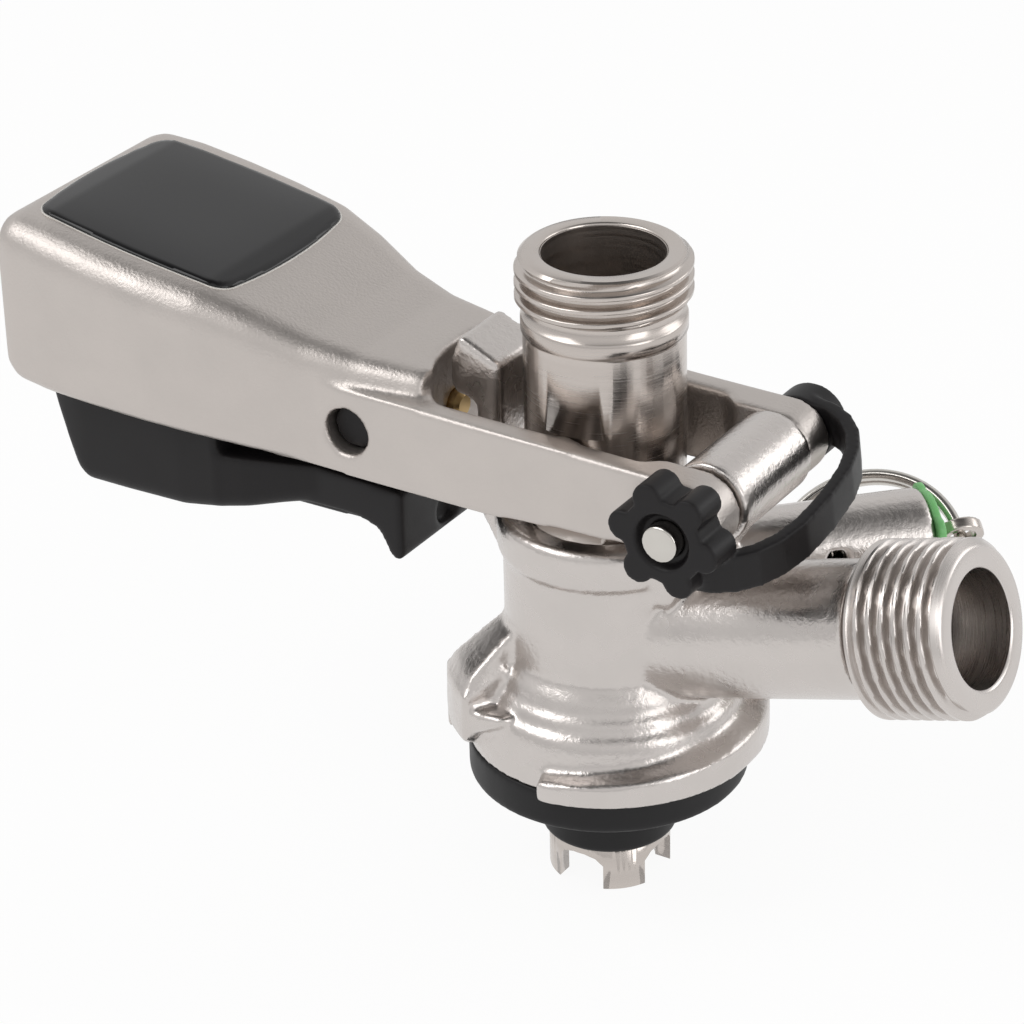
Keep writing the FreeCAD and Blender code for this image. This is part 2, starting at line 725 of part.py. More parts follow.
def make_probe():
    """Turned probe: threaded outlet, guided shaft with two lug slots, thin tube and notched tip."""
    body = new_body("probe")
    seal_top = "foot_seal_low + foot_seal_height"
    turned(body, "Tube", [
        ("beer_bore", "tip_low"),
        ("tip_radius", "tip_low"),
        ("tip_radius", "foot_seal_low + foot_seal_grip"),
        ("lower_tube_radius", "foot_seal_low + foot_seal_grip"),
        ("lower_tube_radius", seal_top),
        ("tip_radius", seal_top),
        ("tip_radius", seal_top + " + 1.4"),
        ("lower_tube_radius", seal_top + " + 2.6"),
        ("lower_tube_radius", "shaft_low - 1.6"),
        ("shaft_radius", "shaft_low"),
        ("shaft_radius", "band_low"),
        ("shaft_radius + band_step", "band_low + 0.3"),
        ("shaft_radius + band_step", "thread_relief_low - 0.6"),
        ("thread_relief_radius", "thread_relief_low"),
        ("thread_relief_radius", "outlet_thread_low - 0.4"),
        ("thread_radius", "outlet_thread_low + 0.8"),
        ("thread_radius", "probe_top - thread_chamfer"),
        ("thread_radius - 1.3", "probe_top"),
        ("outlet_bore + 0.25", "probe_top"),
        ("outlet_bore", "probe_top - 0.25"),
        ("outlet_bore", "probe_top - outlet_bore_depth"),
        ("ball_bore", "probe_top - outlet_bore_depth - 0.4"),
        ("ball_bore", "probe_top - ball_bore_depth"),
        ("beer_bore - ball_seat_depth", "probe_top - ball_bore_depth - ball_cone_height"),
        ("beer_bore - ball_seat_depth", "probe_top - ball_bore_depth - ball_cone_height - 1.2"),
        ("beer_bore", "probe_top - ball_bore_depth - ball_cone_height - 2.8"),
    ])
    slot = outline(new_sketch(body, "LugSlotProfile", "YZ_Plane"), [
        ("lug_slot_depth - shaft_radius", "pivot_height - lug_radius - lug_slot_clearance"),
        ("lug_slot_depth - shaft_radius", "pivot_height + lug_radius + lug_slot_clearance"),
        ("-shaft_radius - 3", "pivot_height + lug_radius + lug_slot_clearance"),
        ("-shaft_radius - 3", "pivot_height - lug_radius - lug_slot_clearance"),
    ])
    cut = pocketed(body, "LugSlot", slot, "3 * shaft_radius")
    around_z(body, "LugSlots", [cut], 2)
    notch = outline(new_sketch(body, "TipNotchProfile", "XZ_Plane"), [
        ("-tip_notch_radius", "tip_low - 1"),
        ("tip_notch_radius", "tip_low - 1"),
        ("tip_notch_radius", "tip_notch_top - 0.45 * tip_notch_radius"),
        ("0.7 * tip_notch_radius", "tip_notch_top - 0.13 * tip_notch_radius"),
        ("0.25 * tip_notch_radius", "tip_notch_top"),
        ("-0.25 * tip_notch_radius", "tip_notch_top"),
        ("-0.7 * tip_notch_radius", "tip_notch_top - 0.13 * tip_notch_radius"),
        ("-tip_notch_radius", "tip_notch_top - 0.45 * tip_notch_radius"),
    ])
    tip = pocketed(body, "TipNotch", notch, "3 * tip_radius")
    around_z(body, "TipNotches", [tip], 4)
    return body


def make_probe_seal():
    body = new_body("probe_seal")
    top = "foot_seal_low + foot_seal_height"
    turned(body, "FootSeal", [
        ("lower_tube_radius", "foot_seal_low + foot_seal_grip"),
        ("tip_radius", "foot_seal_low + foot_seal_grip"),
        ("tip_radius", "foot_seal_low"),
        ("foot_seal_radius - 0.5", "foot_seal_low"),
        ("foot_seal_radius", "foot_seal_low + 0.5"),
        ("foot_seal_radius", top + " - 1.4"),
        ("tip_radius + 0.1", top),
        ("lower_tube_radius", top),
    ])
    return body


def make_check_ball():
    ball = doc.addObject("Part::Sphere", "check_ball")
    ball.Label = "check_ball"
    ball.setExpression("Radius", bound("ball_radius"))
    ball.setExpression(".Placement.Base.z", bound(ball_rest_height()))
    return ball


def ball_rest_height():
    """Height of the ball's centre when it rests on the edge of the narrow seat bore."""
    edge = "(beer_bore - ball_seat_depth)"
    return ("probe_top - ball_bore_depth - ball_cone_height + ball_seat_gap"
            " + sqrt(ball_radius * ball_radius - %s * %s)" % (edge, edge))


def make_ball_retainer():
    """Open spider pressed into the bore above the ball."""
    body = new_body("ball_retainer")
    turned(body, "Rim", [
        ("ball_bore - retainer_rim", "retainer_low"),
        ("ball_bore", "retainer_low"),
        ("ball_bore", "retainer_low + retainer_height"),
        ("ball_bore - retainer_rim", "retainer_low + retainer_height"),
    ])
    bar = outline(new_sketch(body, "SpokeProfile", "XY_Plane", lift="retainer_low"), [
        ("0.3 - ball_bore", "-0.5 * retainer_spoke"),
        ("ball_bore - 0.3", "-0.5 * retainer_spoke"),
        ("ball_bore - 0.3", "0.5 * retainer_spoke"),
        ("0.3 - ball_bore", "0.5 * retainer_spoke"),
    ])
    spoke = padded(body, "Spoke", bar, "0.6 * retainer_height", both=False)
    around_z(body, "Spokes", [spoke], 4)
    hub = circle(new_sketch(body, "HubProfile", "XY_Plane", lift="retainer_low"), ("0", "0"), "retainer_hub")
    body.Tip = padded(body, "Hub", hub, "retainer_height", both=False)
    return body


def make_hinge_pin():
    body = new_body("hinge_pin")
    near = circle(new_sketch(body, "PinProfile", "XZ_Plane"), ("pivot_reach", "pivot_height"), "pin_radius")
    pin = padded(body, "Pin", near, "pin_near", both=False)
    pin.SideType = "Two sides"
    pin.setExpression("Length2", bound("pin_far"))
    return body


def make_pin_keeper():
    """Moulded keeper: lobed star over the near pin end, strap round the hinge, cap over the far end."""
    body = new_body("pin_keeper")
    near = "arm_outer + keeper_gap"
    star = circle(new_sketch(body, "StarProfile", "XZ_Plane", lift=near), ("pivot_reach", "pivot_height"),
                  "star_radius - star_lobe")
    padded(body, "Star", star, "star_thickness", both=False)
    for i in range(STAR_LOBES):
        heading = STAR_TURN + 360 / STAR_LOBES * i
        spot = ("pivot_reach + (star_radius - star_lobe) * cos(%g)" % heading,
                "pivot_height + (star_radius - star_lobe) * sin(%g)" % heading)
        lobe = circle(new_sketch(body, "StarLobeProfile%d" % i, "XZ_Plane", lift=near), spot, "star_lobe")
        padded(body, "StarLobe%d" % i, lobe, "star_thickness", both=False)
    cap = circle(new_sketch(body, "CapProfile", "XZ_Plane", lift="-(%s)" % near),
                 ("pivot_reach", "pivot_height"), "keeper_cap_radius")
    padded(body, "Cap", cap, "keeper_cap_thickness", both=False, back=True)
    add_strap(body)
    pin = circle(new_sketch(body, "KeeperBoreProfile", "XZ_Plane"), ("pivot_reach", "pivot_height"),
                 "pin_radius")
    bore = pocketed(body, "KeeperBore", pin, "pin_near + 1", both=False)
    bore.SideType = "Two sides"
    bore.setExpression("Length", bound("pin_far"))
    bore.setExpression("Length2", bound("pin_near + 1"))
    return body


def add_strap(body):
    """Flat band bent round the hinge on a plane that climbs towards the far side."""
    end = "(arm_outer + keeper_gap + 0.5 * star_thickness)"

    def spot(heading, inset):
        """Point of a rounded square that stands off from the hinge, seen from above."""
        along = math.cos(math.radians(heading)) ** STRAP_SQUARENESS
        aside = math.copysign(abs(math.sin(math.radians(heading))) ** STRAP_SQUARENESS, heading)
        return ("pivot_reach + (strap_reach - %s) * %.5f" % (inset, along),
                "(%s - %s) * %.5f / cos(strap_tilt)" % (end, inset, aside))
    headings = (-88, -74, -60, -45, -30, -15, 0, 15, 30, 45, 60, 74, 88)
    outer = [spot(heading, "0") for heading in headings]
    inner = [spot(heading, "strap_thickness") for heading in reversed(headings)]
    band = outline(new_sketch(body, "StrapProfile", "XY_Plane", turn=(X_AXIS, "strap_tilt"),
                              lift="pivot_height - strap_drop"), outer + inner)
    padded(body, "Strap", band, "strap_height")


def make_handle():
    """Cast lever: hollow head, neck with the trigger bay, and a fork with lugs and hinge eyes."""
    body = new_body("handle")
    add_lever_solid(body)
    slot = outline(new_sketch(body, "ForkSlotProfile", "XY_Plane", lift="pivot_height"), [
        ("-crotch_reach", "-2"),
        ("0.7 - crotch_reach", "-5.4"),
        ("2.6 - crotch_reach", "-9.4"),
        ("5 - crotch_reach", "arm_wall - arm_outer"),
        ("pivot_reach - 8.4", "arm_wall - arm_outer"),
        ("pivot_reach - 6", "-hinge_boss_half - hinge_side_gap"),
        ("pivot_reach + 9", "-hinge_boss_half - hinge_side_gap"),
        ("pivot_reach + 9", "hinge_boss_half + hinge_side_gap"),
        ("pivot_reach - 6", "hinge_boss_half + hinge_side_gap"),
        ("pivot_reach - 8.4", "arm_outer - arm_wall"),
        ("5 - crotch_reach", "arm_outer - arm_wall"),
        ("2.6 - crotch_reach", "9.4"),
        ("0.7 - crotch_reach", "5.4"),
        ("-crotch_reach", "2"),
    ])
    pocketed(body, "ForkSlot", slot, "40")
    lug = circle(new_sketch(body, "LugProfile", "XZ_Plane"), ("0", "pivot_height"), "lug_radius")
    padded(body, "Lug", lug, "2 * arm_outer - 1")
    reach = "(shaft_radius - lug_slot_depth + lug_slot_play)"
    between = outline(new_sketch(body, "LugGapProfile", "XY_Plane", lift="pivot_height"), [
        ("-lug_radius - 1", "-" + reach), ("lug_radius + 1", "-" + reach),
        ("lug_radius + 1", reach), ("-lug_radius - 1", reach)])
    pocketed(body, "LugGap", between, "3 * lug_radius")
    pin = circle(new_sketch(body, "EyeBoreProfile", "XZ_Plane"), ("pivot_reach", "pivot_height"),
                 "pin_radius + running_clearance")
    pocketed(body, "EyeBore", pin, "2 * arm_outer + 2")
    cut_trigger_bay(body)
    return body


def head_rise(reach):
    """Height of the head's sloping top at a distance behind the probe axis."""
    return "head_step_top + (%s - head_step) * tan(head_slope)" % reach


def add_lever_solid(body):
    """Head and neck lofted through sections with rounded shoulders, then the straight arms."""
    brow = head_rise("head_end - 2.8")
    stations = [
        ("crotch_reach - 2", "0.56 * head_half", "neck_top + 1.2", "neck_low + 0.4", 0.6),
        ("crotch_reach + 8", "0.65 * head_half", "neck_top + 2", "neck_low + 0.4", 0.7),
        ("crotch_reach + 15", "0.74 * head_half", "neck_top + 3.6", "neck_low + 0.6", 0.8),
        ("head_step - 7", "0.85 * head_half", "0.74 * head_step_top + 0.26 * neck_top",
         "neck_low + 1.6", 0.9),
        ("head_step", "0.94 * head_half", "head_step_top", "head_low - 1.3", 1),
        ("head_step + 8", "0.985 * head_half", head_rise("head_step + 8"), "head_low - 0.8", 1),
        ("head_step + 16", "head_half", head_rise("head_step + 16"), "head_low - 0.4", 1),
        ("head_step + 24", "0.99 * head_half", head_rise("head_step + 24"), "head_low - 0.1", 1),
        ("head_end - 2.8", "0.955 * head_half", brow + " - 0.5", "head_low + 0.2", 0.9),
        ("head_end - 0.9", "0.92 * head_half", brow + " - 1.1", "head_low + 1.4", 0.8),
        ("head_end", "0.85 * head_half", brow + " - 2.6", "head_low + 3.2", 0.7),
    ]
    sections = []
    for i, (reach, half, top, low, share) in enumerate(stations):
        near = [("0.3 * head_round - %s" % half, low), ("-%s" % half, "%s + 0.3 * head_round" % low)]
        for lean in (90, 67, 45, 22, 0):
            near.append(("%g * head_round * (1 - sin(%d)) - %s" % (share, lean, half),
                         "%s - %g * head_round * (1 - cos(%d))" % (top, share, lean)))
        far = [("-(%s)" % y, z) for y, z in reversed(near)]
        sketch = new_sketch(body, "HeadSection%d" % i, "YZ_Plane", lift="-(%s)" % reach)
        sections.append(outline(sketch, near + far))
    head = body.newObject("PartDesign::AdditiveLoft", "Head")
    head.Profile = sections[0]
    head.Sections = sections[1:]
    head.Ruled = True
    arms = outline(new_sketch(body, "ArmSide", "XZ_Plane"), [
        ("pivot_reach", "pivot_height - arm_end_radius"),
        ("2", "arm_low"),
        ("-10", "neck_low + 0.2"),
        ("-2 * crotch_reach", "neck_low + 0.6"),
        ("-2 * crotch_reach", "arm_top + 1.1"),
        ("-10", "arm_top + 0.3"),
        ("pivot_reach", "pivot_height + arm_end_radius"),
    ])
    padded(body, "Arms", arms, "2 * arm_outer")
    eye = circle(new_sketch(body, "ArmEndProfile", "XZ_Plane"), ("pivot_reach", "pivot_height"),
                 "arm_end_radius")
    padded(body, "ArmEnds", eye, "2 * arm_outer")


def cut_trigger_bay(body):
    """Hollow under the head and neck, the bolt's guide and rib, trunnion holes and badge seat."""
    bay = outline(new_sketch(body, "BayProfile", "XZ_Plane"), [
        ("-head_end + head_wall", "head_low - 12"),
        ("-head_end + head_wall", head_rise("head_end - head_wall") + " - head_wall"),
        ("-head_step", "head_step_top - head_wall"),
        ("-bay_front", "head_step_top - head_wall - 0.6"),
        ("-bay_front", "head_low - 12"),
    ])
    pocketed(body, "Bay", bay, "2 * bay_half")
    front = outline(new_sketch(body, "FrontBayProfile", "XZ_Plane"), [
        ("-bay_front - 1", "head_low - 12"),
        ("-bay_front - 1", "head_step_top - head_wall - 0.6"),
        ("-crotch_reach - 12", "neck_top + 1.3 - head_wall"),
        ("-crotch_reach - crotch_wall", "neck_top - head_wall"),
        ("-crotch_reach - crotch_wall", "head_low - 12"),
    ])
    pocketed(body, "FrontBay", front, "2 * trigger_bay_half")
    rib = outline(new_sketch(body, "BoltRibProfile", "XZ_Plane"), [
        ("-bolt_rib_back", "trunnion_height - bolt_radius - 1.2"),
        ("-bolt_rib_front", "trunnion_height - bolt_radius - 1.2"),
        ("-bolt_rib_front", "head_step_top - head_wall"),
        ("-bolt_rib_back", "head_step_top - head_wall"),
    ])
    padded(body, "BoltRib", rib, "2 * bolt_rib_half")
    nose = circle(new_sketch(body, "BoltGuideProfile", "YZ_Plane"), ("0", "trunnion_height"),
                  "bolt_radius + bolt_clearance")
    pocketed(body, "BoltGuide", nose, "2 * (crotch_reach + crotch_wall) + 2")
    rod = circle(new_sketch(body, "RodGuideProfile", "YZ_Plane"), ("0", "trunnion_height"),
                 "bolt_rod_radius + bolt_clearance")
    pocketed(body, "RodGuide", rod, "2 * bolt_rib_back + 1")
    hole = circle(new_sketch(body, "TrunnionHoleProfile", "XZ_Plane"), ("-trunnion_reach", "trunnion_height"),
                  "trunnion_radius + trunnion_clearance")
    pocketed(body, "TrunnionHoles", hole, "2 * arm_outer + 2")
    seat = outline(badge_sketch(body, "BadgeSeatProfile", "head_step_top - badge_pocket / cos(head_slope)"),
                   badge_corners("badge_gap"))
    pocketed(body, "BadgeSeat", seat, "5", both=False, back=True)


def badge_sketch(body, name, lift):
    """Sketch on the slope of the head's top."""
    return new_sketch(body, name, "XY_Plane", turn=(Y_AXIS, "head_slope"), lift=lift,
                      side=("-head_step", "0"))


def badge_corners(gap):
    """Rounded quadrilateral of the badge, wider at the lever's end, grown by a gap."""
    back = "-((badge_back - head_step) / cos(head_slope) + %s)" % gap
    front = "-((badge_front - head_step) / cos(head_slope) - %s)" % gap
    middle = "-((0.5 * badge_back + 0.5 * badge_front - head_step) / cos(head_slope))"
    wide = "(badge_back_half + %s)" % gap
    slim = "(badge_front_half + %s)" % gap
    belly = "(0.5 * badge_back_half + 0.5 * badge_front_half + 0.6 + %s)" % gap
    near = [
        (back + " - 0.5", "-0.35 * " + wide),
        (back + " + 0.6", "-0.8 * " + wide),
        (back + " + 3", "-" + wide),
        (middle, "-" + belly),
        (front + " - 3", "-" + slim),
        (front + " - 0.5", "-0.8 * " + slim),
        (front + " + 0.4", "-0.35 * " + slim),
    ]
    far = [(x, y[1:]) for x, y in reversed(near)]
    return near + far


def make_badge_inset():
    body = new_body("badge_inset")
    plate = outline(badge_sketch(body, "BadgeProfile", "head_step_top - badge_pocket / cos(head_slope)"),
                    badge_corners("0"))
    padded(body, "Badge", plate, "badge_thickness", both=False)
    return body


def make_trigger():
    """Moulded trigger: open belly under the head, slotted front with trunnions, tooth and window."""
    body = new_body("trigger")
    front = outline(new_sketch(body, "FrontSide", "XZ_Plane"), [
        ("-trigger_front", "skirt_top - 3"),
        ("-trigger_front - 3.6", "skirt_top + 0.4"),
        ("-trigger_front - 3.6", "trunnion_height + trunnion_radius - 0.2"),
        ("-trunnion_reach - trunnion_radius", "trunnion_height + trunnion_radius + 0.2"),
        ("-trunnion_reach - 7", "trunnion_height + 1"),
        ("-belly_front - 1", "trunnion_height + 2"),
        ("-belly_front - 1", "trigger_low + 1.4"),
        ("-trigger_front - 6.2", "trigger_low + 1.6"),
        ("-trigger_front - 2", "trigger_tooth + 0.9"),
        ("-trigger_front", "trigger_tooth + 1.6"),
    ])
    padded(body, "Front", front, "2 * trigger_half")
    skirt = outline(new_sketch(body, "SkirtSide", "XZ_Plane"), [
        ("-trigger_front", "skirt_top - 0.7"),
        ("-belly_front - 1", "skirt_top + 0.6"),
        ("-belly_front - 1", "trigger_low + 3.2"),
        ("-trigger_front - 9.2", "trigger_low + 3.4"),
        ("-trigger_front - 6", "trigger_low + 3.2"),
        ("-trigger_front - 3.8", "trigger_low + 2.3"),
        ("-trigger_front - 2.6", "trigger_low + 0.5"),
        ("-trigger_front - 2", "trigger_tooth + 0.7"),
        ("-trigger_front - 1.2", "trigger_tooth"),
        ("-trigger_front - 0.4", "trigger_tooth"),
        ("-trigger_front", "trigger_tooth + 0.6"),
    ])
    padded(body, "Skirt", skirt, "2 * skirt_half")
    add_belly(body, "Flare", [
        ("trigger_front + 13", "skirt_half - 0.1", "skirt_top - 0.1", "trigger_low + 3.6"),
        ("trigger_front + 18", "skirt_half + 1.6", "skirt_top", "trigger_low + 2.7"),
        ("trigger_front + 23", "skirt_half + 3.4", "skirt_top + 0.2", "trigger_low + 1.6"),
        ("belly_front + 1", "belly_half - 0.3", "skirt_top + 0.4", "trigger_low + 0.9"),
    ])
    add_belly(body, "Belly", [
        ("belly_front", "belly_half - 0.4", "trunnion_height + 2", "trigger_low + 1.1"),
        ("belly_front + 6", "belly_half", "trunnion_height + 3.5", "trigger_low + 0.2"),
        ("trigger_end - 12", "belly_half", "trunnion_height + 5.6", "trigger_low"),
        ("trigger_end - 5.4", "belly_half", "trunnion_height + 7.2", "trigger_low"),
        ("trigger_end - 4", "belly_half - 0.1", "trunnion_height + 7.5", "trigger_low + 1.1"),
        ("trigger_end - 2.2", "belly_half - 0.4", "trunnion_height + 8", "trigger_low + 5.6"),
        ("trigger_end", "belly_half - 1", "trunnion_height + 8.4", "trigger_low + 11.4"),
    ])
    hollow = outline(new_sketch(body, "HollowSide", "XZ_Plane"), [
        ("-belly_front - trigger_wall", "trunnion_height + 12"),
        ("-trigger_end + trigger_wall", "trunnion_height + 12"),
        ("-trigger_end + trigger_wall", "trigger_low + 13"),
        ("-trigger_end + trigger_wall + 3.4", "trigger_low + 4"),
        ("-trigger_end + 12", "trigger_low + trigger_wall"),
        ("-belly_front - trigger_wall", "trigger_low + 1.2 + trigger_wall"),
    ])
    pocketed(body, "Hollow", hollow, "2 * (belly_half - trigger_wall)")
    slot = outline(new_sketch(body, "BoltSlotProfile", "XZ_Plane"), [
        ("-bolt_back - 1.7", "trigger_slot_floor"),
        ("-trigger_front - 1.2", "trigger_slot_floor"),
        ("-trigger_front - 1.2", "trunnion_height + 12"),
        ("-bolt_back - 1.7", "trunnion_height + 12"),
    ])
    pocketed(body, "BoltSlot", slot, "2 * bolt_slot_half")
    stud = circle(new_sketch(body, "TrunnionProfile", "XZ_Plane", lift="trigger_half - 0.5"),
                  ("-trunnion_reach", "trunnion_height"), "trunnion_radius")
    stud_length = "arm_outer - trunnion_recess - trigger_half + 0.5"
    padded(body, "NearTrunnion", stud, stud_length, both=False)
    stud = circle(new_sketch(body, "FarTrunnionProfile", "XZ_Plane", lift="0.5 - trigger_half"),
                  ("-trunnion_reach", "trunnion_height"), "trunnion_radius")
    padded(body, "FarTrunnion", stud, stud_length, both=False, back=True)
    pin = circle(new_sketch(body, "DrivePinBore", "XZ_Plane"),
                 ("-trunnion_reach", "trunnion_height - bolt_arm"), "drive_pin_radius")
    pocketed(body, "DrivePinHole", pin, "2 * (bolt_slot_half + 2.4)")
    window = circle(new_sketch(body, "WindowProfile", "YZ_Plane", lift="-trigger_front"),
                    ("0", "trunnion_height - bolt_arm - 4"), "bolt_slot_half - 0.8")
    pocketed(body, "Window", window, "3")
    return body


def add_belly(body, name, stations):
    """Boat-shaped block with round lower edges, from its width, top and bottom at several distances."""
    sections = []
    for i, (reach, half, top, low) in enumerate(stations):
        near = [
            ("-(%s)" % half, top),
            ("-(%s)" % half, low + " + 1.6"),
            ("0.5 - (%s)" % half, low + " + 0.5"),
            ("1.6 - (%s)" % half, low),
        ]
        far = [("-(%s)" % y, z) for y, z in reversed(near)]
        sketch = new_sketch(body, "%sSection%d" % (name, i), "YZ_Plane", lift="-(%s)" % reach)
        sections.append(outline(sketch, near + far))
    block = body.newObject("PartDesign::AdditiveLoft", name)
    block.Profile = sections[0]
    block.Sections = sections[1:]
    block.Ruled = True
    return block


def make_bolt_drive_pin():
    body = new_body("bolt_drive_pin")
    across = circle(new_sketch(body, "DrivePinProfile", "XZ_Plane"),
                    ("-trunnion_reach", "trunnion_height - bolt_arm"), "drive_pin_radius")
    padded(body, "DrivePin", across, "2 * (bolt_slot_half + 2.4)")
    return body


def make_latch_bolt():
    """Latch bolt with a rear rod for its spring and a slotted tail for the drive pin."""
    body = new_body("latch_bolt")
    turned(body, "Bolt", [
        ("-bolt_tip", "0"),
        ("-bolt_tip", "bolt_radius - 0.6"),
        ("-bolt_tip - 0.6", "bolt_radius"),
        ("-bolt_shoulder", "bolt_radius"),
        ("-bolt_shoulder", "bolt_rod_radius"),
        ("-bolt_back", "bolt_rod_radius"),
        ("-bolt_back", "0"),
    ], axis="H_Axis", side=("0", "trunnion_height"))
    foot = "trunnion_height - bolt_arm"
    tail = outline(new_sketch(body, "TailProfile", "XZ_Plane"), [
        ("-bolt_shoulder", "trunnion_height - 0.4"),
        ("-bolt_shoulder", foot + " - 1.5"),
        ("-trunnion_reach + 2.3", foot + " - 1.5"),
        ("-trunnion_reach + 2.3", "neck_low - 0.8"),
        ("-trunnion_reach + 0.7", "neck_low + 0.4"),
        ("-trunnion_reach + 0.7", "trunnion_height - 0.4"),
    ])
    padded(body, "Tail", tail, "2 * bolt_tail_half")
    half = "(drive_pin_radius + drive_pin_play)"
    eye = outline(new_sketch(body, "TailSlotProfile", "XZ_Plane"), [
        ("-trunnion_reach - " + half, foot + " - 2"),
        ("-trunnion_reach + " + half, foot + " - 2"),
        ("-trunnion_reach + " + half, foot + " + " + half + " + 0.5"),
        ("-trunnion_reach - " + half, foot + " + " + half + " + 0.5"),
    ])
    pocketed(body, "TailSlot", eye, "3 * bolt_tail_half")
    return body


def make_latch_spring():
    """Spring round the bolt's rear rod, drawn at the length it has with the bolt drawn back."""
    low = size("bolt_shoulder") + 0.5 * size("bolt_travel") + size("spring_play") + size("spring_wire")
    high = size("bolt_rib_front") - size("spring_wire")
    radius = size("bolt_rod_radius") + size("spring_wire") + size("spring_play")
    spring = coil("latch_spring", radius, size("spring_wire"), high - low, size("latch_spring_turns"))
    spring.Placement = FreeCAD.Placement(FreeCAD.Vector(-low, 0, size("trunnion_height")),
                                         FreeCAD.Rotation(Y_AXIS, -90))
    return spring


def check_and_write(pieces):
    doc.recompute()
    for item in doc.Objects:
        if "Invalid" in item.State or "Error" in item.State:
            raise RuntimeError("%s failed to rebuild: %s" % (item.Name, item.State))
    os.makedirs("parts", exist_ok=True)
    for piece in pieces:
        shape = piece.Shape
        if shape.isNull() or not shape.isValid() or not shape.Solids:
            raise RuntimeError("%s has no valid solid" % piece.Label)
        shape.exportStep("parts/%s.step" % piece.Label)
        print("%-22s %d solid(s) %10.1f mm3" % (piece.Label, len(shape.Solids), shape.Volume))


check_and_write([
    make_body_casting(),
    make_body_seal(),
    make_cord_ring("shaft_o_ring_lower", "lower_ring_height"),
    make_cord_ring("shaft_o_ring_upper", "upper_ring_height"),
    make_inlet_check_valve(),
    make_inlet_valve_sleeve(),
    make_relief_cap(),
    make_relief_stem(),
    make_relief_seat_seal(),
    make_relief_spring(),
    make_pull_ring(),
    make_probe(),
    make_probe_seal(),
    make_check_ball(),
    make_ball_retainer(),
    make_handle(),
    make_badge_inset(),
    make_hinge_pin(),
    make_pin_keeper(),
    make_trigger(),
    make_bolt_drive_pin(),
    make_latch_bolt(),
    make_latch_spring(),
])
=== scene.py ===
import math

import bmesh
import bpy
from bpy.props import FloatProperty, FloatVectorProperty, IntProperty, PointerProperty
from mathutils import Matrix, Vector, geometry


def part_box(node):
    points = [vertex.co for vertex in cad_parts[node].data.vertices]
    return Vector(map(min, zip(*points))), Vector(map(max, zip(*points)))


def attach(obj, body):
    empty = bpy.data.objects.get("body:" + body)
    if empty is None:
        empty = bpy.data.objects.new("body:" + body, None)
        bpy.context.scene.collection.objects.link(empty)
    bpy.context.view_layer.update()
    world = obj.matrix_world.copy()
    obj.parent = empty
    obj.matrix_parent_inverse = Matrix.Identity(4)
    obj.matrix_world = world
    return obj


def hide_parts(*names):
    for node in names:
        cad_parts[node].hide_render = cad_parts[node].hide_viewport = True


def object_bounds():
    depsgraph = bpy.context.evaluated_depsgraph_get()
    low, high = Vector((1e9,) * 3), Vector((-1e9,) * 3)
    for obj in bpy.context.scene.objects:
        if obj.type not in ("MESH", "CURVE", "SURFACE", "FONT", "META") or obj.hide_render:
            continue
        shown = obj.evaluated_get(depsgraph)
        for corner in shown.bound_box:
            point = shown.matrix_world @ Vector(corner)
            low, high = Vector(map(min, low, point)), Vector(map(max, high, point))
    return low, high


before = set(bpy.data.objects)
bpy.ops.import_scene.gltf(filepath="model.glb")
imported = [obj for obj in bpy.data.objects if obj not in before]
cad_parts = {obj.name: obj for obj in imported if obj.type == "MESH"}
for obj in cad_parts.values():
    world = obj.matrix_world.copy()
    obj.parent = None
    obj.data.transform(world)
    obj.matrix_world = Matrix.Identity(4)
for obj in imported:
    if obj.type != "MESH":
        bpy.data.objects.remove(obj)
cad_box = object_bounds()

bl_info = {
    "name": "Keg coupler",
    "version": (1, 0, 0),
    "blender": (4, 5, 0),
    "location": "3D View > Sidebar > Coupler",
    "description": "Dresses the packed keg coupler in cast, turned and moulded pieces",
    "category": "Object",
}

MM = 0.001
UP = Vector((0, 0, 1))
WHITE = (1, 1, 1, 1)

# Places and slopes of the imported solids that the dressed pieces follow
HINGE = (20 * MM, 48.8 * MM)
INLET_HEIGHT = 20.8 * MM
INLET_TURN = math.radians(74)
INLET_CUT = 41.4 * MM
PROBE_CUT = 65 * MM
STOP_STARTS = (math.radians(212), math.radians(32))
STOP_TOP = 16.2 * MM
RELIEF_HEADING = math.radians(45)
RELIEF_EYE = (48.8 * MM, 28.3 * MM)
HEAD_STEP = Vector((-52 * MM, 0, 65.2 * MM))
HEAD_SLOPE = math.radians(9.3)
HEAD_RISE = Vector((math.sin(HEAD_SLOPE), 0, math.cos(HEAD_SLOPE)))
HEAD_ALONG = Vector((math.cos(HEAD_SLOPE), 0, -math.sin(HEAD_SLOPE)))
BADGE_POCKET = 0.7
BADGE_MIDDLE = HEAD_STEP - HEAD_ALONG * 13 * MM

# Camera fitted to the photograph: its frame and focal length in pixels, its place and its turns
FRAME_PIXELS = 1024
FOCAL_PIXELS = 3775.545
CAMERA_PLACE = (0.224534, -0.372576, 0.270580)
CAMERA_TURNS = (32.7, 28.0645, -1.3755)


def linear(code):
    """Linear colour of an sRGB hex code."""
    parts = [int(code[i:i + 2], 16) / 255 for i in (1, 3, 5)]
    return tuple(part / 12.92 if part <= 0.04045 else ((part + 0.055) / 1.055) ** 2.4 for part in parts)


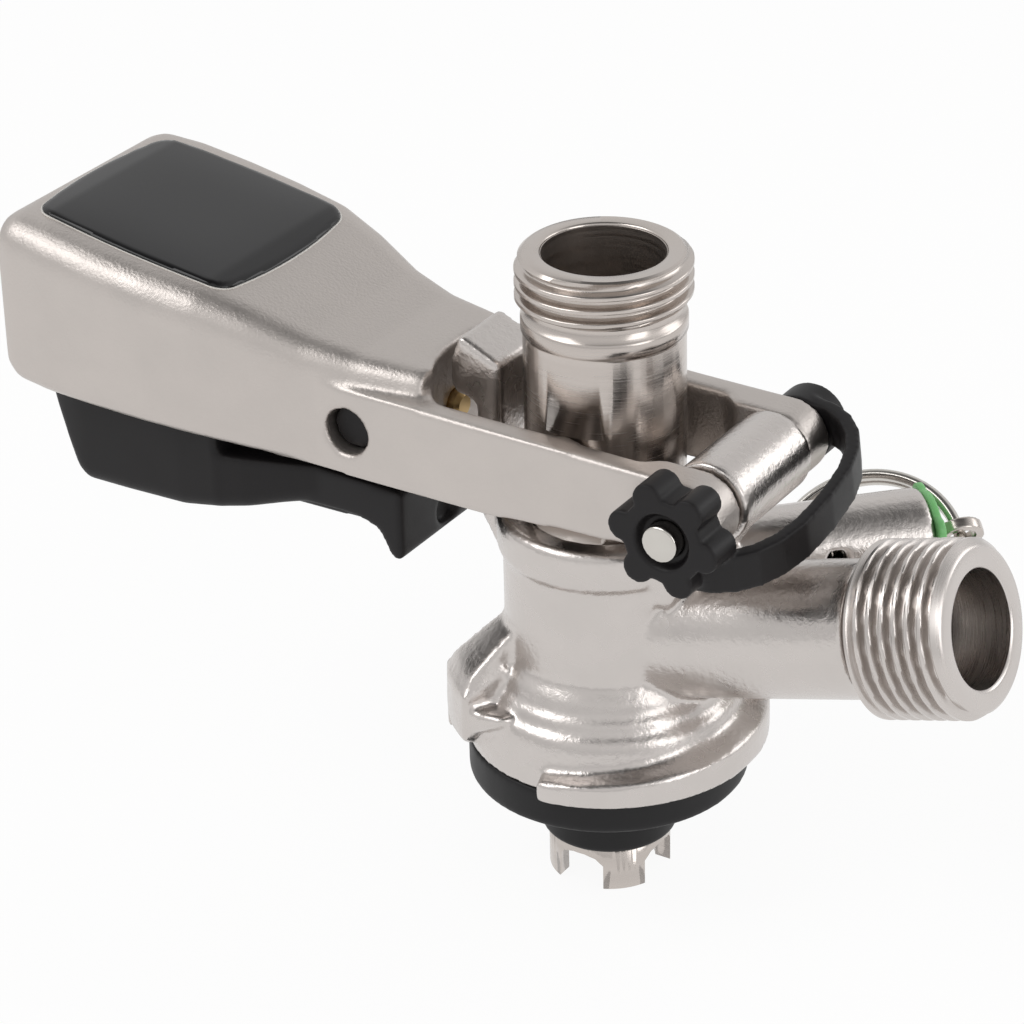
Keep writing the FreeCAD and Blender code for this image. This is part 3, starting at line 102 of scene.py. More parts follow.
class CouplerSizes(bpy.types.PropertyGroup):
    thread_pitch: FloatProperty(
        name="Thread pitch", description="Distance between crests of both hose threads",
        default=1.814 * MM, unit="LENGTH", precision=5)
    thread_radius: FloatProperty(
        name="Thread radius", description="Radius over the crests of both hose threads",
        default=11.455 * MM, unit="LENGTH", precision=5)
    thread_depth: FloatProperty(
        name="Thread depth", description="Depth of the thread's grooves",
        default=1.16 * MM, unit="LENGTH", precision=5)
    cast_grid: FloatProperty(
        name="Casting grid", description="Edge length of the mesh of the castings",
        default=0.48 * MM, unit="LENGTH", precision=5)
    moulded_grid: FloatProperty(
        name="Moulding grid", description="Edge length of the mesh of the moulded pieces",
        default=0.42 * MM, unit="LENGTH", precision=5)
    small_grid: FloatProperty(
        name="Small grid", description="Edge length of the mesh of the small pieces",
        default=0.22 * MM, unit="LENGTH", precision=5)
    turned_steps: IntProperty(
        name="Steps round turned pieces", description="Faces round each turned piece", default=128, min=48)
    floor_drop: FloatProperty(
        name="Floor drop", description="Gap between the probe's tip and the floor",
        default=0.2 * MM, unit="LENGTH", precision=5)


class CouplerColours(bpy.types.PropertyGroup):
    # Also given to the turned inlet threads as painted light, making them lighter than the turned steel.
    cast_steel: FloatVectorProperty(
        name="Body steel", description="Electropolished cast stainless steel of the body",
        subtype="COLOR", default=linear("#CDC7C3"))
    blasted_steel: FloatVectorProperty(
        name="Lever steel", description="Bead-blasted cast stainless steel of the lever",
        subtype="COLOR", default=linear("#C9C2BD"))
    turned_steel: FloatVectorProperty(
        name="Turned steel", description="Turned stainless steel of the probe and threads",
        subtype="COLOR", default=linear("#C6BEB8"))
    # Painted shade: turned steel darkened to stand in for the shade inside the deep outlet bore.
    bore_steel_painted_shade: FloatVectorProperty(
        name="Bore steel", description="Drilled and unpolished stainless steel inside the outlet",
        subtype="COLOR", default=linear("#ABA39D"))
    wire_steel: FloatVectorProperty(
        name="Wire steel", description="Drawn wire of the ring and springs",
        subtype="COLOR", default=linear("#D0CCC6"))
    brass: FloatVectorProperty(
        name="Brass", description="Turned brass of the latch bolt", subtype="COLOR",
        default=linear("#BFA271"))
    nylon: FloatVectorProperty(
        name="Nylon", description="Moulded black nylon of the trigger and the keeper",
        subtype="COLOR", default=linear("#1B191A"))
    rubber: FloatVectorProperty(
        name="Rubber", description="Moulded black rubber of the seals", subtype="COLOR",
        default=linear("#161516"))
    green: FloatVectorProperty(
        name="Valve cap green", description="Moulded green plastic of the relief valve cap",
        subtype="COLOR", default=linear("#7CC57A"))
    # Also the pale colour of the painted highlight round the badge.
    acetal_and_rim_highlight: FloatVectorProperty(
        name="Acetal", description="White acetal of the check ball", subtype="COLOR",
        default=linear("#E6E3DD"))
    badge: FloatVectorProperty(
        name="Badge", description="Black print under the badge's clear dome",
        subtype="COLOR", default=linear("#0F0E10"))
    floor: FloatVectorProperty(
        name="Floor", description="Pale floor", subtype="COLOR", default=linear("#FBFAF9"))


def add(tree, kind, sockets=None, **settings):
    """Add a node, set its settings, and fill its sockets with values or with (node, output) links."""
    node = tree.nodes.new(kind)
    for name, value in settings.items():
        setattr(node, name, value)
    for name, value in (sockets or {}).items():
        if isinstance(value, tuple) and isinstance(value[0], bpy.types.Node):
            tree.links.new(value[0].outputs[value[1]], node.inputs[name])
        else:
            node.inputs[name].default_value = value
    return node


def new_material(name):
    """An empty node material with its output and Object coordinates."""
    material = bpy.data.materials.new(name)
    material.use_nodes = True
    tree = material.node_tree
    tree.nodes.clear()
    place = add(tree, "ShaderNodeTexCoord")
    return material, tree, place


def close(tree, shader):
    add(tree, "ShaderNodeOutputMaterial", {"Surface": (shader, "BSDF")})


def noise(tree, place, output, size, detail, roughness=0.5):
    """Noise whose features are about the given size."""
    return add(tree, "ShaderNodeTexNoise", {"Vector": (place, output), "Scale": 1 / size, "Detail": detail,
                                            "Roughness": roughness})


def spread(tree, pattern, low, high):
    """A noise pattern stretched to run from low to high."""
    return add(tree, "ShaderNodeMapRange", {"Value": (pattern, "Fac"), "From Min": 0.3, "From Max": 0.7,
                                            "To Min": low, "To Max": high})


def toned(tree, colour, pattern, low):
    """The colour darkened down to a factor where the pattern is low."""
    return add(tree, "ShaderNodeMix", {"Factor": 1.0, "A": (*colour, 1),
                                       "B": (spread(tree, pattern, low, 1.0), "Result")},
               data_type="RGBA", blend_type="MULTIPLY")


def bumped(tree, pattern, relief):
    """Bump of a pattern with the given relief."""
    return add(tree, "ShaderNodeBump", {"Height": (pattern, "Fac"), "Strength": 1, "Distance": relief})


def cast_steel(name, colour, ripple, relief, rough):
    """Cast stainless steel: rounded ripples of the mould with a finer grain on them."""
    material, tree, place = new_material(name)
    waves = noise(tree, place, "Object", ripple, 2.5, 0.45)
    grain = noise(tree, place, "Object", ripple / 4, 2)
    stains = noise(tree, place, "Object", 6 * MM, 3)
    fine = add(tree, "ShaderNodeBump", {"Height": (grain, "Fac"), "Strength": 1, "Distance": relief / 6,
                                        "Normal": (bumped(tree, waves, relief), "Normal")})
    close(tree, add(tree, "ShaderNodeBsdfPrincipled", {
        "Base Color": (toned(tree, colour, stains, 0.94), "Result"), "Metallic": 1.0,
        "Roughness": (spread(tree, stains, rough - 0.03, rough + 0.05), "Result"),
        "Normal": (fine, "Normal")}))
    return material


def turned_steel(name, colour, tilt, rough=0.2, line=0.22 * MM):
    """Turned steel: fine tool lines round the axis, drawn coarser than real so that they show."""
    material, tree, place = new_material(name)
    stretch = add(tree, "ShaderNodeMapping", {"Vector": (place, "Object"), "Rotation": (0, tilt, 0)},
                  vector_type="TEXTURE")
    squeeze = add(tree, "ShaderNodeMapping", {"Vector": (stretch, "Vector"), "Scale": (0.03, 0.03, 1)})
    lines = noise(tree, squeeze, "Vector", line, 3, 0.6)
    bands = noise(tree, squeeze, "Vector", line / 0.08, 2)
    close(tree, add(tree, "ShaderNodeBsdfPrincipled", {
        "Base Color": (toned(tree, colour, bands, 0.9), "Result"), "Metallic": 1.0,
        "Roughness": (spread(tree, lines, rough - 0.05, rough + 0.1), "Result"),
        "Normal": (bumped(tree, lines, 0.006 * MM), "Normal")}))
    return material


def moulded(name, colour, grain, relief, rough, metallic=0.0, level=0.5):
    """Moulded or drawn surface with a fine even grain and slightly uneven gloss."""
    material, tree, place = new_material(name)
    texture = noise(tree, place, "Object", grain, 2)
    cloud = noise(tree, place, "Object", 7 * MM, 4)
    close(tree, add(tree, "ShaderNodeBsdfPrincipled", {
        "Base Color": (toned(tree, colour, cloud, 0.88), "Result"), "Metallic": metallic,
        "Roughness": (spread(tree, cloud, rough - 0.04, rough + 0.06), "Result"),
        "Normal": (bumped(tree, texture, relief), "Normal"), "Specular IOR Level": level}))
    return material


def finish(name):
    """The finish of that name, made once."""
    if name in bpy.data.materials:
        return bpy.data.materials[name]
    tint = bpy.context.scene.coupler_colours
    makers = {
        # Investment-cast stainless steel, electropolished: bright, with soft ripples that sparkle.
        "electropolished_cast_stainless":
            lambda n: cast_steel(n, tint.cast_steel, 0.9 * MM, 0.07 * MM, 0.26),
        # Investment-cast stainless steel, bead-blasted: matte and even, with faint casting grain.
        "bead_blasted_cast_stainless":
            lambda n: cast_steel(n, tint.blasted_steel, 0.42 * MM, 0.055 * MM, 0.4),
        # Bar stainless steel, turned: bright with lines round the axis.
        "lathe_turned_stainless":
            lambda n: turned_steel(n, tint.turned_steel, 0),
        # The same on the tilted inlet, a little duller, and in the body's lighter steel colour: painted
        # light that makes its threads look brighter.
        "lathe_turned_stainless_inlet_painted_lighter":
            lambda n: turned_steel(n, tint.cast_steel, INLET_TURN, rough=0.26),
        # The same steel inside the outlet, drilled and left dull, with coarser tool lines; its darker
        # colour is painted shade for the deep bore.
        "drilled_stainless_bore_painted_shade":
            lambda n: turned_steel(n, tint.bore_steel_painted_shade, 0, rough=0.34, line=0.4 * MM),
        # Stainless spring wire, drawn: smooth and bright.
        "drawn_stainless_wire":
            lambda n: moulded(n, tint.wire_steel, 0.3 * MM, 0.003 * MM, 0.18, metallic=1.0),
        # Free-cutting brass, turned and dulled by use.
        "turned_brass":
            lambda n: moulded(n, tint.brass, 0.2 * MM, 0.004 * MM, 0.3, metallic=1.0),
        # Glass-filled nylon, injection-moulded: black, matte, with a fine spark texture.
        "moulded_black_nylon":
            lambda n: moulded(n, tint.nylon, 0.22 * MM, 0.012 * MM, 0.45, level=0.25),
        # Nitrile rubber, compression-moulded: black and matte.
        "moulded_nitrile_rubber":
            lambda n: moulded(n, tint.rubber, 0.4 * MM, 0.008 * MM, 0.5, level=0.3),
        # Polypropylene, injection-moulded: light green with a satin face.
        "moulded_green_polypropylene":
            lambda n: moulded(n, tint.green, 0.3 * MM, 0.004 * MM, 0.4),
        # Acetal, ground: white and smooth.
        "ground_white_acetal":
            lambda n: moulded(n, tint.acetal_and_rim_highlight, 0.3 * MM, 0.002 * MM, 0.3),
        # Painted highlight at the badge's rim: pale white stands in for the thin line of light that the
        # clear dome's edge catches.
        "painted_highlight_badge_rim":
            lambda n: moulded(n, tint.acetal_and_rim_highlight, 3 * MM, 0.002 * MM, 0.2),
        # Printed vinyl under a poured clear dome: black and glossy.
        "domed_black_vinyl":
            lambda n: moulded(n, tint.badge, 3 * MM, 0.004 * MM, 0.12, level=0.42),
    }
    return makers[name](name)


def node_mesh(node):
    """Merged copy of a CAD node as a bmesh."""
    mesh = bmesh.new()
    mesh.from_mesh(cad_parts[node].data)
    bmesh.ops.remove_doubles(mesh, verts=mesh.verts, dist=1e-6)
    return mesh


def make_piece(name, mesh, material, body, replaced=(), angle=40):
    """Turn a bmesh into a finished piece that rides on a body."""
    data = bpy.data.meshes.new(name)
    mesh.to_mesh(data)
    mesh.free()
    data.shade_smooth()
    data.set_sharp_from_angle(angle=math.radians(angle))
    data.materials.append(finish(material))
    piece = bpy.data.objects.new(name, data)
    bpy.context.scene.collection.objects.link(piece)
    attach(piece, body)
    if replaced:
        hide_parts(*replaced)
    return piece


def remeshed(mesh, grid, passes):
    """Remesh a closed bmesh on an even grid and round its edges as a casting's or moulding's are."""
    data = bpy.data.meshes.new("remesh")
    mesh.to_mesh(data)
    mesh.free()
    holder = bpy.data.objects.new("remesh", data)
    bpy.context.scene.collection.objects.link(holder)
    modifier = holder.modifiers.new("Grid", "REMESH")
    modifier.mode = "VOXEL"
    modifier.voxel_size = grid
    modifier.adaptivity = 0
    shaped = bpy.data.meshes.new_from_object(holder.evaluated_get(bpy.context.evaluated_depsgraph_get()))
    result = bmesh.new()
    result.from_mesh(shaped)
    bpy.data.objects.remove(holder)
    bpy.data.meshes.remove(data)
    bpy.data.meshes.remove(shaped)
    for _ in range(passes):
        bmesh.ops.smooth_vert(result, verts=result.verts, factor=0.5, use_axis_x=True, use_axis_y=True,
                              use_axis_z=True)
    return result


def turned(profile, place, steps):
    """Spin (along, radius) points in millimetres about +Z and put the result in place."""
    mesh = bmesh.new()
    line = [mesh.verts.new((radius * MM, 0, along * MM)) for along, radius in profile]
    edges = [mesh.edges.new(pair) for pair in zip(line, line[1:])]
    bmesh.ops.spin(mesh, geom=line + edges, cent=(0, 0, 0), axis=(0, 0, 1), angle=math.tau, steps=steps,
                   use_merge=True)
    bmesh.ops.remove_doubles(mesh, verts=mesh.verts, dist=1e-6)
    bmesh.ops.recalc_face_normals(mesh, faces=mesh.faces)
    bmesh.ops.transform(mesh, matrix=place, verts=mesh.verts)
    return mesh


def spaced(low, high, step):
    """Evenly spaced values from low to high, no further apart than the step."""
    count = max(1, math.ceil((high - low) / step))
    return [low + (high - low) * i / count for i in range(count + 1)]


def cut_thread(mesh, low, high, fade):
    """Press the helical groove of a right-hand thread into a plain cylinder that stands on +Z."""
    sizes = bpy.context.scene.coupler_sizes
    inner = sizes.thread_radius - 0.7 * MM
    for vert in mesh.verts:
        along = vert.co.z / MM
        radius = math.hypot(vert.co.x, vert.co.y)
        if not low <= along <= high or radius < inner:
            continue
        turn = math.atan2(vert.co.y, vert.co.x) / math.tau
        # A wave cut off above makes the crests flat, and the slopes between them meet at the root.
        wave = 0.5 + 0.75 * math.cos(math.tau * (along * MM / sizes.thread_pitch - turn))
        crest = min(1, max(0, wave))
        ends = min(1, (along - low) / fade, (high - along) / fade)
        scale = 1 - (1 - crest) * ends * sizes.thread_depth / radius
        vert.co.x *= scale
        vert.co.y *= scale


def inlet_place():
    """The gas inlet's axis as a turned frame: its own +Z runs out of the branch."""
    return Matrix.Translation((0, 0, INLET_HEIGHT)) @ Matrix.Rotation(INLET_TURN, 4, "Y")


def swept(mesh, section, start, sweep, steps):
    """Add the closed sweep of an (out, up) section in millimetres about Z; returns its vertices."""
    loop = [mesh.verts.new((out * math.cos(start) * MM, out * math.sin(start) * MM, up * MM))
            for out, up in section]
    edges = [mesh.edges.new(pair) for pair in zip(loop, loop[1:] + loop[:1])]
    made = bmesh.ops.spin(mesh, geom=loop + edges, cent=(0, 0, 0), axis=(0, 0, 1), angle=sweep, steps=steps)
    ends = edges + [item for item in made["geom_last"] if isinstance(item, bmesh.types.BMEdge)]
    bmesh.ops.holes_fill(mesh, edges=ends, sides=0)
    faces = {face for vert in loop for face in vert.link_faces}
    shell, fresh = set(), faces
    while fresh:
        shell |= fresh
        fresh = {near for face in fresh for edge in face.edges for near in edge.link_faces} - shell
    bmesh.ops.recalc_face_normals(mesh, faces=list(shell))
    return {vert for face in shell for vert in face.verts}


def add_claw(mesh, start):
    """Slope the top of a cam's stop and hook its foot forwards into a tooth along the bell."""
    def heading(vert):
        return math.degrees(math.atan2(vert.co.y, vert.co.x) - start) % 360

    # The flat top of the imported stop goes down, so that it lies inside the wedge.
    for vert in mesh.verts:
        over_stop = (heading(vert) + 4) % 360 < 34 and vert.co.xy.length > 17 * MM
        if over_stop and 15 * MM < vert.co.z < 20 * MM:
            vert.co.z = STOP_TOP
    wedge = [(12.8, 17.0), (12.8, 24.2), (14.6, 23.0), (19.9, 18.2), (20.8, 17.0), (21.4, 15.0),
             (21.6, 12.5), (21.6, 10.0), (21.0, 8.7), (20.0, 8.3), (17.5, 8.3), (16.0, 12.0)]
    swept(mesh, wedge, start - math.radians(2.8), math.radians(27.5), 9)
    # The tooth rises, gets lower and draws in towards its tip.
    tooth = [(16.0, 8.6), (16.0, 13.4), (21.3, 13.4), (21.6, 12.4), (21.6, 9.6), (21.0, 8.6)]
    foot_middle, foot_half = 11.0, 2.4
    for vert in swept(mesh, tooth, start + math.radians(10), math.radians(32), 16):
        share = min(1, max(0, (heading(vert) - 16) / 26))
        middle = foot_middle + 3.1 * share
        half = foot_half * (1 - share) ** 0.7 + 0.35 * share
        vert.co.z = (middle + half * (vert.co.z / MM - foot_middle) / foot_half) * MM
        reach = vert.co.xy.length / MM
        if reach > 18:
            vert.co.xy *= (reach - 2.7 * share ** 1.5) / reach


class COUPLER_OT_body(bpy.types.Operator):
    """Cast body with its bell, cams, post, hinge boss and branches"""
    bl_idname = "coupler.body"
    bl_label = "Cast body"

    def execute(self, context):
        sizes = context.scene.coupler_sizes
        mesh = node_mesh("body_casting")
        for start in STOP_STARTS:
            add_claw(mesh, start)
        mesh = remeshed(mesh, sizes.cast_grid, 3)
        place = inlet_place()
        axis = (place.to_3x3() @ UP).normalized()
        # The branch ends where the turned end begins, and its cut is closed as a ring.
        cut = bmesh.ops.bisect_plane(mesh, geom=mesh.verts[:] + mesh.edges[:] + mesh.faces[:],
                                     plane_co=place @ Vector((0, 0, INLET_CUT)), plane_no=axis,
                                     clear_outer=True)
        rim = [item for item in cut["geom_cut"] if isinstance(item, bmesh.types.BMEdge)]
        far = [edge for edge in rim if edge.verts[0].co.dot(axis) > 0]
        bmesh.ops.bridge_loops(mesh, edges=far)
        make_piece("cast_body", mesh, "electropolished_cast_stainless", "base",
                   ["body_casting"], angle=60)
        return {"FINISHED"}


class COUPLER_OT_inlet_thread(bpy.types.Operator):
    """Threaded end of the gas inlet"""
    bl_idname = "coupler.inlet_thread"
    bl_label = "Inlet thread"

    def execute(self, context):
        sizes = context.scene.coupler_sizes
        crest = sizes.thread_radius / MM
        profile = [(40.9, 7.0), (40.9, 8.9), (41.6, 9.0), (42.2, 9.6), (42.8, 10.9), (43.2, crest)]
        profile += [(along, crest) for along in spaced(43.3, 55.4, 0.11)]
        profile += [(56.2, crest - 0.8), (56.4, crest - 1.05), (56.5, crest - 1.3), (56.5, 8.1),
                    (56.4, 7.8), (56.2, 7.63), (43.1, 7.63), (43.1, 7.0), (40.9, 7.0)]
        mesh = turned(profile, Matrix.Identity(4), sizes.turned_steps)
        cut_thread(mesh, 43.2, 57.2, 1.2)
        bmesh.ops.transform(mesh, matrix=inlet_place(), verts=mesh.verts)
        make_piece("inlet_threaded_end", mesh, "lathe_turned_stainless_inlet_painted_lighter", "base")
        return {"FINISHED"}


class COUPLER_OT_probe(bpy.types.Operator):
    """Turned probe with its threaded outlet"""
    bl_idname = "coupler.probe"
    bl_label = "Probe"

    def execute(self, context):
        sizes = context.scene.coupler_sizes
        crest = sizes.thread_radius / MM
        shaft = node_mesh("probe")
        bmesh.ops.bisect_plane(shaft, geom=shaft.verts[:] + shaft.edges[:] + shaft.faces[:],
                               plane_co=(0, 0, PROBE_CUT), plane_no=UP, clear_outer=True)
        rims = [edge for edge in shaft.edges if edge.is_boundary]
        bmesh.ops.bridge_loops(shaft, edges=rims)
        profile = [(65.0, 10.5), (65.3, 10.5), (65.5, 10.75), (67.2, 10.75), (67.5, 10.6), (67.9, 9.95),
                   (69.1, 9.95), (69.5, 10.5), (69.8, crest)]
        profile += [(along, crest) for along in spaced(69.9, 74.9, 0.1)]
        profile += [(75.4, crest - 0.5), (75.8, crest - 0.95), (76.0, crest - 1.3), (76.0, 8.45),
                    (75.9, 8.2), (75.7, 8.1), (66.0, 8.1), (65.6, 7.7), (65.0, 7.7), (65.0, 10.5)]
        head = turned(profile, Matrix.Identity(4), sizes.turned_steps)
        cut_thread(head, 69.4, 76.4, 0.9)
        data = bpy.data.meshes.new("head")
        head.to_mesh(data)
        head.free()
        shaft.from_mesh(data)
        bpy.data.meshes.remove(data)
        make_piece("turned_probe", shaft, "lathe_turned_stainless", "probe",
                   ["probe"], angle=35)
        # A thin liner in the outlet's bore carries the darker steel: painted shade for the deep hole.
        wall = [(75.7, 8.13), (75.6, 8.0), (66.0, 8.0), (65.6, 7.6), (52.0, 7.6), (52.0, 7.75),
                (65.6, 7.75), (66.0, 8.13), (75.7, 8.13)]
        bore = turned(wall, Matrix.Identity(4), sizes.turned_steps)
        make_piece("outlet_bore", bore, "drilled_stainless_bore_painted_shade", "probe")
        return {"FINISHED"}


class COUPLER_OT_lever(bpy.types.Operator):
    """Cast lever"""
    bl_idname = "coupler.lever"
    bl_label = "Lever"

    def execute(self, context):
        sizes = context.scene.coupler_sizes
        mesh = remeshed(node_mesh("handle"), sizes.cast_grid, 5)
        make_piece("cast_lever", mesh, "bead_blasted_cast_stainless", "lever",
                   ["handle"], angle=60)
        return {"FINISHED"}


def bend_down(mesh):
    """Bend both ends of a badge piece down with the head's top."""
    for vert in mesh.verts:
        place = (vert.co - BADGE_MIDDLE).dot(HEAD_ALONG) / MM
        near, far = max(0, place - 13.3), max(0, -place - 13.1)
        vert.co -= HEAD_RISE * MM * (0.16 * near + 0.12 * far)


def badge_plate(grow, height):
    """Flat plate of the badge's outline, its corners rounded, with its top above the pocket's floor."""
    corners = ((-2.3, -14.5), (-2.3, 14.5), (28.3, 14.3), (28.3, -14.3))
    bulges = (1.5, 0.75, 1.6, 0.75)
    pieces = 10
    origin = HEAD_STEP + HEAD_RISE * (height - BADGE_POCKET) * MM
    mesh = bmesh.new()
    loop, tips = [], []
    for i, (start, bulge) in enumerate(zip(corners, bulges)):
        end = corners[(i + 1) % 4]
        side = Vector(end) - Vector(start)
        outwards = Vector((-side.y, side.x)).normalized()
        for step in range(pieces):
            share = step / pieces
            spot = Vector(start) + side * share + outwards * bulge * 4 * share * (1 - share)
            spot += (spot - Vector((13, 0))).normalized() * grow
            loop.append(mesh.verts.new(origin - HEAD_ALONG * spot.x * MM + Vector((0, spot.y * MM, 0))))
            if step == 0:
                tips.append(loop[-1])
    mesh.faces.new(loop)
    bmesh.ops.bevel(mesh, geom=tips, offset=2.3 * MM, offset_type="OFFSET", segments=7, profile=0.5,
                    affect="VERTICES", material=-1)
    made = bmesh.ops.extrude_face_region(mesh, geom=mesh.faces[:])
    floor = [item for item in made["geom"] if isinstance(item, bmesh.types.BMVert)]
    bmesh.ops.translate(mesh, verts=floor, vec=-HEAD_RISE * height * MM)
    bmesh.ops.recalc_face_normals(mesh, faces=mesh.faces)
    return mesh


class COUPLER_OT_badge(bpy.types.Operator):
    """Bare domed badge in the lever's head"""
    bl_idname = "coupler.badge"
    bl_label = "Badge"

    def execute(self, context):
        # A pale plate a little wider than the badge shows round it as a thin painted highlight.
        painted_highlight_plate = badge_plate(0.2, 0.76)
        bend_down(painted_highlight_plate)
        make_piece("painted_badge_rim_highlight", painted_highlight_plate, "painted_highlight_badge_rim", "lever", angle=60)
        mesh = badge_plate(0, 1.15)
        top = max(self.top_faces(mesh), key=lambda face: face.calc_area())
        rim = [(edge.verts[0].co.copy(), edge.verts[1].co.copy()) for edge in top.edges]
        # Cuts both ways give the flat top the points that the dome lifts.
        for axis, half in ((HEAD_ALONG, 17), (Vector((0, 1, 0)), 16)):
            for step in spaced(-half, half, 0.5):
                faces = self.top_faces(mesh)
                edges = {edge for face in faces for edge in face.edges}
                verts = {vert for face in faces for vert in face.verts}
                bmesh.ops.bisect_plane(mesh, geom=[*verts, *edges, *faces], dist=1e-7,
                                       plane_co=BADGE_MIDDLE + axis * step * MM, plane_no=axis)
        self.raise_dome(mesh, rim)
        bend_down(mesh)
        make_piece("domed_badge", mesh, "domed_black_vinyl", "lever", ["badge_inset"],
                   angle=60)
        return {"FINISHED"}

    def top_faces(self, mesh):
        return [face for face in mesh.faces if face.normal.dot(HEAD_RISE) > 0.9]

    def raise_dome(self, mesh, rim):
        """Lift the top in a flat dome and round its rim down."""
        half_length, half_width = 16.6 * MM, 15.6 * MM
        dome, drop, rim_width = 0.35, 0.3, 0.5
        for vert in {vert for face in self.top_faces(mesh) for vert in face.verts}:
            inwards = min((vert.co - geometry.intersect_point_line(vert.co, *ends)[0]).length
                          for ends in rim)
            edge = 1 - min(1, inwards / MM / rim_width)
            place = vert.co - BADGE_MIDDLE
            swell = (1 - (place.dot(HEAD_ALONG) / half_length) ** 4) * (1 - (place.y / half_width) ** 4)
            vert.co += HEAD_RISE * MM * (dome * max(0, swell) - drop * edge * edge)


class COUPLER_OT_trigger(bpy.types.Operator):
    """Moulded trigger under the lever"""
    bl_idname = "coupler.trigger"
    bl_label = "Trigger"

    def execute(self, context):
        mesh = remeshed(node_mesh("trigger"), context.scene.coupler_sizes.moulded_grid, 4)
        make_piece("moulded_trigger", mesh, "moulded_black_nylon", "trigger", ["trigger"],
                   angle=60)
        return {"FINISHED"}


class COUPLER_OT_keeper(bpy.types.Operator):
    """Moulded keeper and the hinge pin that it holds"""
    bl_idname = "coupler.keeper"
    bl_label = "Keeper and hinge pin"

    def execute(self, context):
        sizes = context.scene.coupler_sizes
        mesh = remeshed(node_mesh("pin_keeper"), sizes.small_grid, 7)
        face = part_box("pin_keeper")[0].y
        # The star's face is sunk round the pin's end.
        depth, rim, flank = 1.3 * MM, 3.9, 0.7
        for vert in mesh.verts:
            reach = math.hypot(vert.co.x - HINGE[0], vert.co.z - HINGE[1]) / MM
            if vert.co.y < face + 1 * MM:
                vert.co.y += depth * min(1, max(0, (rim - reach) / flank))
        make_piece("moulded_keeper", mesh, "moulded_black_nylon", "base", ["pin_keeper"],
                   angle=60)
        mesh = remeshed(node_mesh("hinge_pin"), sizes.small_grid, 4)
        make_piece("ground_hinge_pin", mesh, "drawn_stainless_wire", "base",
                   ["hinge_pin"], angle=60)
        return {"FINISHED"}


def split_ring():
    """Split ring of two close coils: one wire that crosses from the first turn to the second."""
    radius, wire, half = 13 * MM, 0.8 * MM, 0.785 * MM
    first, turns, screw = 0.05, 1.9, 10 * MM
    steps = 182
    mesh = bmesh.new()
    section = bmesh.ops.create_circle(mesh, segments=20, radius=wire)["verts"]
    bmesh.ops.rotate(mesh, verts=section, cent=(0, 0, 0), matrix=Matrix.Rotation(math.radians(90), 3, "X"))
    bmesh.ops.translate(mesh, verts=section, vec=(radius, 0, 0))
    bmesh.ops.spin(mesh, geom=section + mesh.edges[:], cent=(0, 0, 0), axis=(0, 0, 1),
                   dvec=(0, 0, screw * turns / steps), angle=math.tau * turns, steps=steps)
    for vert in mesh.verts:
        share = (math.atan2(vert.co.y, vert.co.x) / math.tau) % 1
        turn = share + round(vert.co.z / screw - share)
        ramp = min(1, max(0, (turn + first - 1) / (2 * first) + 0.5))
        vert.co.z += half * (2 * ramp * ramp * (3 - 2 * ramp) - 1) - turn * screw
    bmesh.ops.holes_fill(mesh, edges=[edge for edge in mesh.edges if edge.is_boundary], sides=0)
    bmesh.ops.recalc_face_normals(mesh, faces=mesh.faces)
    bmesh.ops.transform(mesh, matrix=ring_place(radius), verts=mesh.verts)
    return mesh


def ring_place(radius):
    """The ring's centre and plane: it hangs from the eye of the relief stem, folded back under the boss."""
    rise, swing, roll, wire_end = (math.radians(turn) for turn in (-20, 12, 55, 70))
    outwards = Vector((math.cos(RELIEF_HEADING), math.sin(RELIEF_HEADING), 0))
    across = UP.cross(outwards)
    eye = outwards * RELIEF_EYE[0] + UP * RELIEF_EYE[1]
    radial = (-math.cos(rise) * math.cos(swing) * outwards + math.cos(rise) * math.sin(swing) * across
              + math.sin(rise) * UP)
    level = radial.cross(UP).normalized()
    tangent = level.cross(radial) * math.cos(roll) + level * math.sin(roll)
    normal = radial.cross(tangent).normalized()
    turn = Matrix((-radial, normal.cross(-radial), normal)).transposed().to_4x4()
    return Matrix.Translation(eye + radial * radius) @ turn @ Matrix.Rotation(wire_end, 4, "Z")


class COUPLER_OT_relief(bpy.types.Operator):
    """Relief valve cap, stem and pull ring"""
    bl_idname = "coupler.relief"
    bl_label = "Relief valve"

    def execute(self, context):
        sizes = context.scene.coupler_sizes
        mesh = remeshed(node_mesh("relief_cap"), sizes.small_grid, 4)
        make_piece("moulded_valve_cap", mesh, "moulded_green_polypropylene", "base",
                   ["relief_cap"], angle=60)
        mesh = remeshed(node_mesh("relief_stem"), sizes.small_grid, 3)
        make_piece("turned_valve_stem", mesh, "lathe_turned_stainless", "relief",
                   ["relief_stem"], angle=60)
        make_piece("wire_pull_ring", split_ring(), "drawn_stainless_wire", "ring",
                   ["pull_ring"], angle=60)
        return {"FINISHED"}


class COUPLER_OT_seals(bpy.types.Operator):
    """Rubber seals of the body, probe and valves"""
    bl_idname = "coupler.seals"
    bl_label = "Seals"

    def execute(self, context):
        sizes = context.scene.coupler_sizes
        mesh = remeshed(node_mesh("body_seal"), sizes.moulded_grid, 3)
        make_piece("moulded_body_seal", mesh, "moulded_nitrile_rubber", "base",
                   ["body_seal"], angle=60)
        mesh = remeshed(node_mesh("probe_seal"), sizes.small_grid, 3)
        make_piece("moulded_probe_seal", mesh, "moulded_nitrile_rubber", "probe",
                   ["probe_seal"], angle=60)
        for node in ("shaft_o_ring_lower", "shaft_o_ring_upper", "relief_seat_seal", "inlet_check_valve"):
            dress(node, "moulded_nitrile_rubber")
        return {"FINISHED"}


def dress(node, name):
    """Give a CAD node that stays a finish of its own."""
    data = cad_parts[node].data
    data.materials.clear()
    data.materials.append(finish(name))


